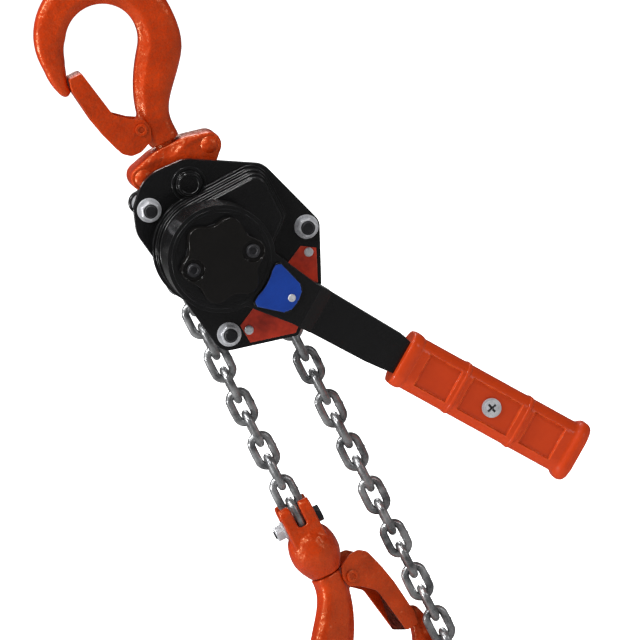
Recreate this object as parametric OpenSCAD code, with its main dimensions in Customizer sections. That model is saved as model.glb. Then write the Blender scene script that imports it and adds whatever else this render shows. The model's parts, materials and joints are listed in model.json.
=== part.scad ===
// Ratchet lever chain hoist: a hand-worked come along winch with a load brake.
// +Z is up, X runs across the side plates, and the lever side faces -Y.
// The origin is the seat of the top hook's bowl, where the hoist is hung.

/* [Chain] */
// Diameter of the chain's wire
chain_wire_d = 6; // [5.6:0.1:6.2]
// Pitch of the chain, and the running length of one link
chain_pitch = 18; // [17.8:0.1:18.4]
// Clear width inside a link
link_inner_w = 7.8; // [7.5:0.1:8]
// Play between two links along the chain
link_play = 0.3; // [0.3:0.05:0.5]
// Number of links on the load side below the wheel
load_links = 12; // [8:2:40]
// Number of links on the slack side below the wheel
slack_links = 20; // [6:2:60]
// Height of the first load link's centre below the hub
load_first_drop = 11.3; // [10.8:0.1:11.6]
// Radius of the stop ring at the end of the slack chain
stop_ring_r = 13; // [11:0.5:18]

/* [Frame] */
// Thickness of a side plate
plate_t = 4; // [3:0.5:6]
// Gap between the two side plates
plate_gap = 33; // [32:0.5:40]
// Height of the suspension pin above the hub
pin_rise = 48.5; // [48:0.5:56]
// Distance of the suspension pin to the right of the hub
pin_side = 7.8; // [4:0.2:12]
// Diameter of the suspension pin
pin_d = 9; // [8:0.5:9]
// Diameter of the stay bolts' threaded ends
stay_d = 8; // [7:0.5:9]
// Diameter of the stay bolts between the plates
stay_waist_d = 6.6; // [6:0.2:6.8]
// Outer diameter of the spacer tubes
spacer_d = 14; // [12:0.5:15]

/* [Covers] */
// Sheet thickness of both covers
cover_t = 2.5; // [2:0.25:3]
// Depth of the brake cover's drum
brake_depth = 27; // [26:0.5:32]
// Outer radius of the brake cover's drum
drum_r = 42; // [41:0.5:43]
// Depth of the gear cover's pan
gear_depth = 23; // [22:0.5:28]
// Radius of the pressed edge on the covers
cover_edge_r = 4; // [2:0.5:6]

/* [Hooks] */
// Inner radius of a hook's bowl
bowl_r = 26.5; // [25:0.5:28]
// Distance from the swivel collar's seat to the bowl's centre
bowl_rise = 88.5; // [86:0.5:100]
// Offset of the bowl's centre from the shank, towards the tip
bowl_offset = 8; // [6:0.5:10]
// Width of the hook's crown, across the bend
crown_w = 27; // [22:0.5:30]
// Width of the hook's heel, where the back meets the neck
heel_w = 32; // [28:0.5:34]
// Width of the hook's arm beside its tip
arm_w = 17; // [14:0.5:19]
// Thickness of the hook, along Y
hook_t = 18; // [15:0.5:20]
// Diameter of the shank inside the yoke
shank_d = 16; // [14:0.5:17]
// Diameter of the collar that hangs in the yoke
collar_d = 24; // [22:0.5:25]
// Thickness of that collar
collar_t = 5.6; // [4:0.2:6]
// Diameter of the latch pin
latch_pin_d = 5; // [4:0.5:6]
// Sheet thickness of the latch
latch_t = 1.8; // [1.5:0.1:2]
// Turn of the bottom hook on its swivel, tip away from the lever side
bottom_turn = 20; // [18:1:40]

/* [Yokes] */
// Thickness of the top yoke over both halves
yoke_t = 30; // [28:0.5:31]
// Spread of the top yoke's two rivets
rivet_spread = 53.4; // [50:0.2:56]
// Radius of the top yoke's lobes
lobe_r = 9.3; // [8.5:0.1:10]
// Diameter of the bottom yoke's ball
ball_d = 37; // [35:0.5:40]
// Height of that ball
ball_h = 34; // [33:0.5:38]
// Width of the bottom yoke across its ears
ears_w = 25; // [24:0.5:30]
// Diameter of the bolt through the last link
yoke_bolt_d = 6; // [5.5:0.1:6.2]

/* [Lever] */
// Angle of the lever from straight down
lever_angle = 33.8; // [0:0.2:60]
// Radius of the lever's round head
head_r = 39; // [38:0.5:41]
// Depth of the lever's head along Y
head_depth = 32; // [30:0.5:36]
// Distance from the hub to the end of the grip
lever_reach = 300; // [290:0.5:320]
// Length of the grip
grip_len = 148; // [140:1:160]
// Width of the grip
grip_w = 39.5; // [34:0.5:42]
// Thickness of the grip
grip_t = 31; // [28:0.5:34]
// Distance from the hub to the selector's pivot
selector_reach = 58; // [57:0.5:60]
// Width of the arm at the head
neck_w = 33.4; // [30:0.2:36]
// Width of the arm at the grip
wrist_w = 25.6; // [24:0.2:28]

/* [Brake and gears] */
// Module of all the gears
gear_module = 1.5; // [1.4:0.05:1.5]
// Teeth of the pinion on the drive shaft
shaft_teeth = 12; // [12:1:12]
// Teeth of a disc gear
disc_teeth = 32; // [32:1:32]
// Teeth of the pinion behind a disc gear
second_teeth = 13; // [13:1:13]
// Direction of the upper disc gear from the hub, from +X
disc_angle = 75; // [74:1:76]
// Teeth of the ratchet disc
ratchet_teeth = 20; // [16:2:24]
// Tip radius of the ratchet disc
ratchet_r = 33; // [31:0.5:33.5]
// Teeth of the change gear in the lever's head
change_teeth = 18; // [14:1:20]
// Tip radius of the change gear
change_r = 20; // [18:0.5:20]
// Radius of the handwheel over its lobes
knob_r = 31.3; // [30:0.1:32]
// Depth of the handwheel along Y
knob_depth = 9; // [8:0.5:12]

/* [Hidden] */
$fn = 48;

// Clearances
run_gap = 0.05;    // a shaft in its bearing, on the radius
fixed_gap = 0.02;  // a fastener in its hole, on the radius
seat_gap = 0.3;    // two bodies beside each other
side_gap = 1;      // a hub beside a plate
eps = 0.5;         // how far a cut runs past a face

// Finishes
orange_red = [0.80, 0.24, 0.08];
black_paint = [0.07, 0.07, 0.08];
zinc = [0.72, 0.73, 0.75];
dark_steel = [0.32, 0.33, 0.35];
chain_grey = [0.55, 0.56, 0.57];
grip_orange = [0.93, 0.33, 0.05];
plate_blue = [0.10, 0.28, 0.68];
plate_red = [0.80, 0.27, 0.20];
bronze = [0.66, 0.50, 0.28];
lining_brown = [0.40, 0.30, 0.22];

// Chain and wheel
pockets = 5;
link_step = 180 / pockets;
wire_r = chain_wire_d / 2;
link_bend_r = link_inner_w / 2 + wire_r;
link_inner_l = chain_pitch + link_play;
link_straight = link_inner_l - link_inner_w;
link_half_w = link_bend_r + wire_r;
link_half_l = link_inner_l / 2 + chain_wire_d;
hook_reach = link_inner_l / 2 + wire_r;
flat_r = (hook_reach * (1 + cos(link_step)) - chain_wire_d - link_play) / sin(link_step);
stand_r = flat_r * cos(link_step) + hook_reach * sin(link_step) - link_play / 2;
chain_mm_per_deg = chain_pitch / link_step;
load_phase = 180 + load_first_drop / chain_mm_per_deg;
slack_first_drop = chain_pitch - load_first_drop;
fall_x = norm([flat_r, hook_reach]) - 0.7;
groove_r = stand_r - link_half_w - 0.6;
groove_w = chain_wire_d + 1.4;
groove_flare = 1.5;
pocket_floor_r = flat_r - wire_r - 0.2;
rim_r = flat_r + wire_r + 1.3;
wheel_half_w = plate_gap / 2 - side_gap;
wheel_journal_r = 17;
bearing_r = 22;
shaft_r = 8;
chain_reach_r = norm([stand_r, link_straight / 2]) + link_half_w;

// Frame
inner_y = plate_gap / 2;
outer_y = inner_y + plate_t;
front_flange_y = -outer_y - cover_t;
back_flange_y = outer_y + cover_t;
drum_face_y = front_flange_y - brake_depth;
pan_face_y = back_flange_y + gear_depth;
stays = [[-26.3, 44.8], [69.9, -18.9], [-15, -62.9]];
eye_r = pin_d / 2 + 4.4;
back_inset = 7;
back_fillet = 6;
nameplate_rivet_at = [[-0.8, -66.8], [63.2, -36.2]];
nameplate_t = 0.8;
stripper_pin_at = [[2, -64], [10, -46]];
stripper_pin_r = 3;
nut_r = 7.2;
nut_t = 6.2;
washer_r = 8.8;
washer_t = 1.6;

// Hooks: the shank axis is local x = 0, and the yoke's mouth is local z = 0
tip_angle = 207;
heel_angle = -38;
root_w = crown_w + 1.5;
shank_top_w = 22;
latch_pivot = [-bowl_offset - 4.3, bowl_rise - 69.6];
mouth_above_pin = 30;
collar_top = -14.5;
latch_ear_t = 9;
latch_half_t = hook_t / 2 + 2.4;
spring_wire_r = 0.6;
latch_coil_r = latch_pin_d / 2 + spring_wire_r + seat_gap;
ball_to_mouth = 24.5;
top_bare = 2;
bottom_bare = ball_h - ball_to_mouth + 0.5;
seat_x = pin_side - bowl_offset;
seat_z = pin_rise + mouth_above_pin + bowl_rise + bowl_r;
last_link_z = -load_first_drop - (load_links - 1) * chain_pitch;
yoke_bolt_z = last_link_z - link_inner_l / 2 + yoke_bolt_d / 2 + 0.1;
ball_top_z = yoke_bolt_z - 8.4;
yoke_rivet_at = [for (s = [-1, 1]) [s * rivet_spread / 2, -13.2]];
yoke_rivet_r = 4;
bottom_mouth_z = ball_top_z - ball_to_mouth;

// Gears
shaft_pitch_r = gear_module * shaft_teeth / 2;
disc_pitch_r = gear_module * disc_teeth / 2;
second_pitch_r = gear_module * second_teeth / 2;
disc_distance = shaft_pitch_r + disc_pitch_r;
// The shaft's teeth repeat every 30 degrees, so the lower disc gear sits 150 degrees below the upper one
lower_angle = disc_angle - 5 * 360 / shaft_teeth;
load_teeth = 2 * disc_distance / gear_module - second_teeth;
load_gear_y = outer_y + 1.5;
load_gear_t = 8;
disc_gear_y = load_gear_y + load_gear_t + 2;
disc_gear_t = 6;
disc_journal_r = 5;
shaft_end_r = 6;
pan_margin = 5.3;

// Brake stack, from the side plate towards the lever
hub_back_y = -outer_y - 1.5;
hub_front_y = hub_back_y - 4;
lining_t = 2.4;
ratchet_t = 5.5;
lining_a_y = hub_front_y - 0.15;
ratchet_back_y = lining_a_y - lining_t;
ratchet_front_y = ratchet_back_y - ratchet_t;
lining_b_y = ratchet_front_y;
nut_flange_y = lining_b_y - lining_t - 0.15;
nut_flange_t = 3.5;
nut_sleeve_r = 16.5;
collar_out_r = 22;
pawls = [[[46, 25], [17, 29.3]], [[49, 2], [25.1, -22.7]]];
pawl_boss_r = 6;
pawl_pin_r = 3.5;

// Lever
head_back_y = drum_face_y - 2;
head_front_y = head_back_y - head_depth;
split_y = (head_back_y + head_front_y) / 2;
shell_t = 2.5;
grip_start = lever_reach - grip_len;
arm_half_t = 9;
neck_end = 68;
ramp_end = 84;
arm_bare = grip_start - ramp_end;
lever_bolt_at = [[0, -ramp_end - 0.135 * arm_bare], [0, -ramp_end - 0.66 * arm_bare]];
lever_bolt_skin = 1;
lever_bolt_r = 2.5;
selector_pin_r = 4;
grip_screw_at = 74.2;
grip_screw_r = 3;
grip_screw_head_r = 7;
gear_back_y = head_back_y - 6;
gear_front_y = head_front_y + 8;
hub_disc_r = 26;
knob_back_y = head_front_y - 1.2;
knob_front_y = knob_back_y - knob_depth;
knob_screw_r = 22.4;
knob_screw_angle = -9.4;
selector_face_y = head_front_y - 3;
shield_arc_r = 36.9;

// ---- Helpers ----

// Draws its children, which are set out about the hub, from the top hook's seat
module from_hub() {
  translate([-seat_x, 0, -seat_z]) children();
}

// Extrudes an outline in X and Z between two planes of Y
module slab(y_front, y_back) {
  translate([0, y_back, 0]) rotate([90, 0, 0]) linear_extrude(y_back - y_front) children();
}

// The same between two planes given in either order
module slab_between(y_one, y_other) {
  slab(min(y_one, y_other), max(y_one, y_other)) children();
}

// Rod along Y between two planes
module rod(at, r, y_front, y_back) {
  translate([at[0], y_front, at[1]]) rotate([-90, 0, 0]) cylinder(r = r, h = y_back - y_front);
}

// Hexagon along Y between two planes
module hex_rod(at, r, y_front, y_back) {
  translate([at[0], y_front, at[1]]) rotate([-90, 0, 0]) cylinder(r = r, h = y_back - y_front, $fn = 6);
}

// Disc along Y with a rounded front edge, for hulls
module soft_disc(at, r, y_front, y_back, edge) {
  translate([at[0], y_back, at[1]]) rotate([90, 0, 0]) rotate_extrude($fn = 40)
    polygon(concat([[0, 0], [r, 0]],
      [for (a = [0:22.5:90]) [r - edge + edge * cos(a), y_back - y_front - edge + edge * sin(a)]],
      [[0, y_back - y_front]]));
}

// Round-ended slot shape, centred, long along X
module stadium(half_l, r) {
  square([2 * half_l, 2 * r], center = true);
  for (s = [-1, 1]) translate([s * half_l, 0]) circle(r = r);
}

// Tube of rings of equal point counts, closed at both ends
module skin(rings) {
  n = len(rings[0]);
  last = (len(rings) - 1) * n;
  polyhedron(points = [for (ring = rings) for (p = ring) p],
    faces = concat(
      [for (j = [1:n - 2]) [0, j + 1, j]],
      [for (i = [0:len(rings) - 2]) for (j = [0:n - 1])
        [i * n + j, (i + 1) * n + (j + 1) % n, (i + 1) * n + j]],
      [for (i = [0:len(rings) - 2]) for (j = [0:n - 1])
        [i * n + j, i * n + (j + 1) % n, (i + 1) * n + (j + 1) % n]],
      [for (j = [1:n - 2]) [last, last + j, last + j + 1]]));
}

// Point on a cubic curve
function bezier(p, t) = p[0] * pow(1 - t, 3) + p[1] * 3 * t * pow(1 - t, 2)
  + p[2] * 3 * t * t * (1 - t) + p[3] * pow(t, 3);

// Signed power, which squares up an ellipse
function signed_pow(v, e) = sign(v) * pow(abs(v), e);

// Closed ring of a forging: an oval across the direction of travel, fuller on its inner side
function forged_ring(c, dir, w, t, n = 16) = [for (i = [0:n - 1])
  let (a = 360 * i / n, u = signed_pow(cos(a), 0.8), v = signed_pow(sin(a), 0.8) * (1 - 0.1 * u))
  [c[0] - dir[1] * u * w / 2, v * t / 2, c[1] + dir[0] * u * w / 2]];

// ---- Chain ----

// One link in the XZ plane, long along Z
module link() {
  for (m = [0, 1]) mirror([0, 0, m]) translate([0, 0, link_straight / 2]) rotate([90, 0, 0])
    rotate_extrude(angle = 180) translate([link_bend_r, 0]) circle(r = wire_r);
  for (s = [-1, 1]) translate([s * link_bend_r, 0, -link_straight / 2])
    cylinder(r = wire_r, h = link_straight);
}

// Hanging row of links below the wheel
module fall(x, first_drop, count) {
  for (i = [0:count - 1]) translate([x, 0, -first_drop - i * chain_pitch])
    rotate([0, 0, i % 2 == 0 ? 0 : 90]) link();
}

// Links that lie round the pocket wheel
module wrapped_links() {
  color(chain_grey) from_hub() for (i = [1:pockets]) {
    flat = i % 2 == 1;
    a = load_phase - i * link_step;
    rotate([0, -a, 0]) translate([flat ? flat_r : stand_r, 0, 0]) rotate([0, 0, flat ? 90 : 0]) link();
  }
}

module load_chain() {
  color(chain_grey) from_hub() fall(-fall_x, load_first_drop, load_links);
}

module slack_chain() {
  color(chain_grey) from_hub() fall(fall_x, slack_first_drop, slack_links);
}

// Ring that stops the slack chain at the wheel
module chain_stop() {
  last_z = -slack_first_drop - (slack_links - 1) * chain_pitch;
  ring_z = last_z - link_inner_l / 2 + wire_r + 0.15 - stop_ring_r;
  color(zinc) from_hub() translate([fall_x, 0, ring_z]) rotate([90, 0, 0])
    rotate_extrude() translate([stop_ring_r, 0]) circle(r = wire_r);
}

// Wheel with five pockets for the flat links and a groove for the standing ones
module pocket_wheel() {
  color(dark_steel) from_hub() difference() {
    union() {
      rod([0, 0], rim_r, -wheel_half_w, wheel_half_w);
      rod([0, 0], wheel_journal_r, -outer_y - 0.5, outer_y + 0.5);
      rod([0, 0], wheel_journal_r - 3, 0, load_gear_y + load_gear_t + 0.5);
    }
    rotate([90, 0, 0]) rotate_extrude() polygon([[groove_r, -groove_w / 2],
      [rim_r + eps, -groove_w / 2 - groove_flare], [rim_r + eps, groove_w / 2 + groove_flare],
      [groove_r, groove_w / 2]]);
    for (i = [0:pockets - 1]) rotate([0, link_step - load_phase - i * 2 * link_step, 0])
      translate([pocket_floor_r, 0, 0]) rotate([0, 90, 0]) {
        linear_extrude(rim_r) stadium(link_straight / 2, link_half_w + 0.4);
        translate([0, 0, wire_r]) linear_extrude(rim_r) stadium(link_straight / 2 + 1.6, link_half_w + 0.6);
      }
    rod([0, 0], shaft_r + run_gap, -outer_y - 2, load_gear_y + load_gear_t + 2);
  }
}

module wheel_bearings() {
  color(bronze) from_hub() for (s = [-1, 1]) difference() {
    rod([0, 0], bearing_r - fixed_gap, s > 0 ? inner_y : -outer_y, s > 0 ? outer_y : -inner_y);
    rod([0, 0], wheel_journal_r + run_gap, s > 0 ? inner_y - eps : -outer_y - eps,
      s > 0 ? outer_y + eps : -inner_y + eps);
  }
}

// Block under the wheel whose finger clears links out of the groove
module chain_stripper() {
  side = fall_x - link_half_w - 1.2;
  stay_side = stays[2][0] + spacer_d / 2 + 0.6;
  color(dark_steel) from_hub() difference() {
    union() {
      slab(-7, 7) difference() {
        polygon([[stay_side, -72], [side, -72], [side, -26], [12, -20], [-10, -20], [-10, -50],
          [stay_side, -57]]);
        circle(r = rim_r + 1);
      }
      slab(-groove_w / 2 + 0.7, groove_w / 2 - 0.7) difference() {
        polygon([[-6, -45], [8, -45], [5, -groove_r - 1], [-1, -groove_r - 1]]);
        circle(r = groove_r + 0.8);
      }
    }
    for (p = stripper_pin_at) rod(p, stripper_pin_r + fixed_gap, -8, 8);
  }
}

module stripper_pins() {
  color(zinc) from_hub() for (p = stripper_pin_at) {
    rod(p, stripper_pin_r, -outer_y, outer_y);
    for (s = [-1, 1]) rod(p, stripper_pin_r + 2, s > 0 ? 7.2 : -inner_y, s > 0 ? inner_y : -7.2);
  }
}

// ---- Frame and covers ----

// Outline shared by the front side plate and the brake cover's flange
module frame_outline() {
  hull() {
    translate(stays[0]) circle(r = 11);
    translate([-20, 31]) circle(r = 21.5);
    translate([-9, pin_rise - 6]) circle(r = 25);
    translate([pin_side, pin_rise]) circle(r = 18);
    translate([51, 27]) circle(r = 14);
    translate(stays[1]) circle(r = 10);
    translate([59.5, -59.5]) circle(r = 2.5);
    translate([28.5, -83.5]) circle(r = 3.5);
    translate(stays[2]) circle(r = 12);
  }
}

// The same on the gear side, drawn in except round the stays and the suspension pin
module back_outline() {
  offset(r = -back_fillet) offset(r = back_fillet) {
    offset(delta = -back_inset) frame_outline();
    for (p = stays) translate(p) circle(r = washer_r);
    translate([pin_side, pin_rise]) circle(r = eye_r + back_fillet);
  }
}

// Centres and radii of the drum, which grows into a corner over the pawls
function drum_discs(inset) = [[[0, 0], drum_r - inset], [[47, drum_r - 14.5], 15 - inset],
  [[50, 2], 12 - inset]];

// Centres and radii of the gear cover's pan
function pan_discs(inset) = concat([[[0, 0], 29 - inset]],
  [for (a = [disc_angle, lower_angle]) [disc_at(a), disc_pitch_r + pan_margin - inset]]);

// Centre of a disc gear, in X and Z
function disc_at(a) = [disc_distance * cos(a), disc_distance * sin(a)];

// Holes that both side plates have for the bearing, the pins and the stays
module plate_holes() {
  circle(r = bearing_r);
  translate([pin_side, pin_rise]) circle(d = pin_d + 2 * fixed_gap);
  for (p = stays) translate(p) circle(d = stay_d + 2 * fixed_gap);
  for (p = stripper_pin_at) translate(p) circle(r = stripper_pin_r + fixed_gap);
}

module side_plate_front() {
  color(black_paint) from_hub() slab(-outer_y, -inner_y) difference() {
    frame_outline();
    plate_holes();
    for (p = pawls) translate(p[0]) circle(r = pawl_pin_r + fixed_gap);
  }
}

module side_plate_back() {
  color(black_paint) from_hub() slab(inner_y, outer_y) difference() {
    back_outline();
    plate_holes();
    for (a = [disc_angle, lower_angle]) translate(disc_at(a)) circle(r = disc_journal_r + run_gap);
  }
}

// Cover over the brake, with a boss on the suspension pin and a collar that carries the lever
module brake_cover() {
  color(black_paint) from_hub() difference() {
    union() {
      slab(front_flange_y, -outer_y) frame_outline();
      hull() for (d = drum_discs(0)) soft_disc(d[0], d[1], drum_face_y, -outer_y, cover_edge_r);
      hull() soft_disc([pin_side, pin_rise], 11, front_flange_y - 5, -outer_y, 2);
      rod([0, 0], collar_out_r, head_back_y - shell_t - 1, drum_face_y + 1);
    }
    slab(drum_face_y + cover_t, -outer_y + eps) hull() for (d = drum_discs(cover_t))
      translate(d[0]) circle(r = d[1]);
    rod([0, 0], nut_sleeve_r + seat_gap, head_back_y - 2 * shell_t - 2, drum_face_y + cover_t + 1);
    for (p = stays) rod(p, stay_d / 2 + fixed_gap, front_flange_y - 2, -outer_y + eps);
    rod([pin_side, pin_rise], pin_d / 2 + 0.5, -outer_y - 2, -outer_y + eps);
  }
}

// Bosses in the gear cover that carry the ends of the gears' shafts
module pan_bosses(y_back) {
  for (a = [disc_angle, lower_angle]) rod(disc_at(a), disc_journal_r + 4, pan_face_y - 6, y_back);
  rod([0, 0], shaft_end_r + 5, pan_face_y - 6, y_back);
}

// Cover over the gear train
module gear_cover() {
  color(black_paint) from_hub() difference() {
    union() {
      slab(outer_y, back_flange_y) back_outline();
      mirror([0, 1, 0]) hull() for (d = pan_discs(0))
        soft_disc(d[0], d[1], -pan_face_y, -outer_y, cover_edge_r);
      pan_bosses(pan_face_y + 2);
    }
    difference() {
      slab(outer_y - eps, pan_face_y - cover_t) hull() for (d = pan_discs(cover_t))
        translate(d[0]) circle(r = d[1]);
      pan_bosses(pan_face_y);
    }
    for (a = [disc_angle, lower_angle])
      rod(disc_at(a), disc_journal_r + run_gap, pan_face_y - 6 - eps, pan_face_y - 1);
    rod([0, 0], shaft_end_r + run_gap, pan_face_y - 6 - eps, pan_face_y - 1);
    for (p = stays) rod(p, stay_d / 2 + fixed_gap, outer_y - eps, back_flange_y + eps);
  }
}

// Pin that the yoke hangs on
module suspension_pin() {
  color(zinc) from_hub() rod([pin_side, pin_rise], pin_d / 2, -outer_y - 1, outer_y - 0.2);
}

// Bolts that hold the plates and covers together
module stay_bolts() {
  color(dark_steel) from_hub() for (p = stays) {
    rod(p, stay_d / 2, front_flange_y - washer_t - nut_t - 1.5, -inner_y);
    rod(p, stay_waist_d / 2, -inner_y, inner_y);
    rod(p, stay_d / 2, inner_y, back_flange_y);
    hex_rod(p, nut_r, back_flange_y, back_flange_y + nut_t);
  }
}

// Tubes that space the plates; the one beside the load chain is in two parts
module stay_spacers() {
  color(zinc) from_hub() for (i = [0:len(stays) - 1]) for (s = [-1, 1]) {
    from = i == 2 ? wire_r + 1.6 : 0;
    difference() {
      rod(stays[i], spacer_d / 2, s > 0 ? from : -inner_y, s > 0 ? inner_y : -from);
      rod(stays[i], stay_waist_d / 2 + fixed_gap, -inner_y - 1, inner_y + 1);
    }
  }
}

module stay_nuts() {
  color(zinc) from_hub() for (p = stays) difference() {
    union() {
      rod(p, washer_r, front_flange_y - washer_t, front_flange_y);
      hex_rod(p, nut_r, front_flange_y - washer_t - nut_t, front_flange_y - washer_t);
    }
    rod(p, stay_d / 2 + fixed_gap, front_flange_y - washer_t - nut_t - eps, front_flange_y + eps);
  }
}

// Bare plate along the lower right edge of the brake cover
module nameplate() {
  color(plate_red) from_hub() slab(front_flange_y - nameplate_t, front_flange_y) difference() {
    polygon([[-5, -61], [-4, -75.5], [28.5, -84.5], [59.5, -58.5], [69.5, -36], [60, -29.5]]);
    for (p = nameplate_rivet_at) translate(p) circle(r = 1.6 + fixed_gap);
  }
}

module nameplate_rivets() {
  color(zinc) from_hub() for (p = nameplate_rivet_at) {
    rod(p, 1.6, front_flange_y - nameplate_t, front_flange_y);
    soft_disc(p, 3.4, front_flange_y - nameplate_t - 1.8, front_flange_y - nameplate_t, 1.7);
  }
}

// ---- Gears ----

function involute(a) = tan(a) * 180 / PI - a;

// Half the angle of a tooth at radius r
function tooth_half(r, z) = let (base = gear_module * z * cos(20) / 2)
  90 / z - 3 / (gear_module * z) + involute(20) - (r > base ? involute(acos(base / r)) : 0);

// Toothed outline with one tooth centred on angle a
module gear_outline(z, a) {
  pitch = gear_module * z / 2;
  radii = [pitch - 1.25 * gear_module, pitch - 0.5 * gear_module, pitch, pitch + 0.5 * gear_module,
    pitch + 0.9 * gear_module];
  polygon([for (i = [0:z - 1]) for (s = [-1, 1]) for (k = [0:4])
    let (r = radii[s < 0 ? k : 4 - k], t = a + 360 * i / z + s * tooth_half(r, z)) [r * cos(t), r * sin(t)]]);
}

module load_gear() {
  color(dark_steel) from_hub() slab(load_gear_y, load_gear_y + load_gear_t) difference() {
    gear_outline(load_teeth, disc_angle);
    circle(r = wheel_journal_r - 3 + fixed_gap);
  }
}

// Teeth by which the load gear's nearest tooth lies past direction a
function tooth_past(a) = let (teeth = (disc_angle - a) * load_teeth / 360) teeth - floor(teeth);

// Disc gear with its pinion, whose teeth fall in the load gear's gaps, and its journals
module disc_gear(a) {
  color(dark_steel) from_hub() {
    at = disc_at(a);
    slab(load_gear_y, disc_gear_y) translate(at)
      gear_outline(second_teeth, a + 180 + (0.5 - tooth_past(a)) * 360 / second_teeth);
    slab(disc_gear_y, disc_gear_y + disc_gear_t) difference() {
      translate(at) gear_outline(disc_teeth, a + 180 + 180 / disc_teeth);
      for (k = [0:4]) translate(at + 14.5 * [cos(72 * k), sin(72 * k)]) circle(r = 3);
    }
    rod(at, disc_journal_r, outer_y - plate_t, load_gear_y);
    rod(at, disc_journal_r, disc_gear_y + disc_gear_t, pan_face_y - 1.5);
    rod(at, disc_journal_r + 2, disc_gear_y + disc_gear_t, pan_face_y - 6.3);
  }
}

module disc_gear_upper() {
  disc_gear(disc_angle);
}

module disc_gear_lower() {
  disc_gear(lower_angle);
}

module drive_shaft() {
  color(zinc) from_hub() {
    rod([0, 0], shaft_r, head_front_y - 2, load_gear_y + load_gear_t + 1);
    rod([0, 0], shaft_end_r, load_gear_y + load_gear_t + 1, pan_face_y - 1.5);
    slab(disc_gear_y - 0.5, disc_gear_y + disc_gear_t + 0.5) gear_outline(shaft_teeth, disc_angle);
  }
}

// ---- Brake ----

module friction_hub() {
  color(dark_steel) from_hub() difference() {
    union() {
      rod([0, 0], 29, hub_front_y, hub_back_y);
      rod([0, 0], 12, ratchet_front_y - lining_t + 0.2, hub_front_y);
    }
    rod([0, 0], shaft_r + fixed_gap, -80, 0);
  }
}

module friction_discs() {
  color(lining_brown) from_hub() for (y = [lining_a_y, lining_b_y]) difference() {
    rod([0, 0], 28.5, y - lining_t, y);
    rod([0, 0], 12 + run_gap, y - lining_t - eps, y + eps);
  }
}

// Ratchet with saw teeth, which the pawls ride
module ratchet_disc() {
  color(dark_steel) from_hub() slab(ratchet_front_y, ratchet_back_y) difference() {
    polygon([for (i = [0:ratchet_teeth - 1]) for (k = [0:2])
      let (a = (i + [0, 0.08, 0.92][k]) * 360 / ratchet_teeth, r = ratchet_r - [3.5, 0, 2.9][k])
      [r * cos(a), r * sin(a)]]);
    circle(r = 12 + run_gap);
  }
}

// Pawl that runs from its pivot to a nose beside the ratchet
module ratchet_pawl(p) {
  color(dark_steel) from_hub() slab(ratchet_front_y + 0.6, ratchet_back_y - 0.6) difference() {
    union() {
      translate(p[0]) circle(r = pawl_boss_r);
      hull() {
        translate(p[0]) circle(r = pawl_boss_r - 1);
        translate(nose(p)) circle(r = 1.5);
      }
    }
    translate(p[0]) circle(r = pawl_pin_r + run_gap);
  }
}

// Centre of a pawl's nose, set just clear of the ratchet's tips
function nose(p) = (ratchet_r + 2) * p[1] / norm(p[1]);

module ratchet_pawl_upper() {
  ratchet_pawl(pawls[0]);
}

module ratchet_pawl_lower() {
  ratchet_pawl(pawls[1]);
}

module pawl_pins() {
  color(zinc) from_hub() for (p = pawls) {
    rod(p[0], pawl_pin_r, ratchet_front_y - 1, -inner_y);
    rod(p[0], pawl_pin_r + 2, ratchet_back_y - 0.3, -outer_y);
    rod(p[0], pawl_pin_r + 2, ratchet_front_y - 1.4, ratchet_front_y + 0.3);
  }
}

// Nut that clamps the brake, with the gear that the lever's pawl drives
module friction_nut() {
  color(dark_steel) from_hub() difference() {
    union() {
      rod([0, 0], 29, nut_flange_y - nut_flange_t, nut_flange_y);
      rod([0, 0], nut_sleeve_r, gear_back_y, nut_flange_y);
      slab(gear_front_y, gear_back_y) polygon([for (i = [0:change_teeth - 1]) for (k = [0:3])
        let (a = (i + [-0.32, -0.16, 0.16, 0.32][k]) * 360 / change_teeth,
          r = change_r - (k == 0 || k == 3 ? 3.2 : 0)) [r * cos(a), r * sin(a)]]);
    }
    rod([0, 0], shaft_r + fixed_gap, gear_front_y - eps, nut_flange_y + eps);
  }
}

// ---- Lever ----

// Turns what is drawn straight down from the hub to the lever's angle
module along_lever() {
  from_hub() rotate([0, -lever_angle, 0]) children();
}

// Outline of the head and arm, inset by the wall
module lever_outline(inset) {
  half = neck_w / 2 - inset;
  wrist = wrist_w / 2 - inset;
  tang = wrist - 3;
  tang_end = lever_reach - 20 - inset;
  circle(r = head_r - inset);
  polygon([[-half - 5, -28], [half + 6, -28], [half + 0.8, -neck_end], [half - 1.9, 6.5 - grip_start],
    [wrist, -grip_start], [tang, -grip_start - 4], [tang, -tang_end], [-tang, -tang_end],
    [-tang, -grip_start - 4], [-wrist, -grip_start], [2.7 - half, 10.5 - grip_start],
    [1.7 - half, 22.5 - grip_start], [0.6 - half, -neck_end]]);
}

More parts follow.
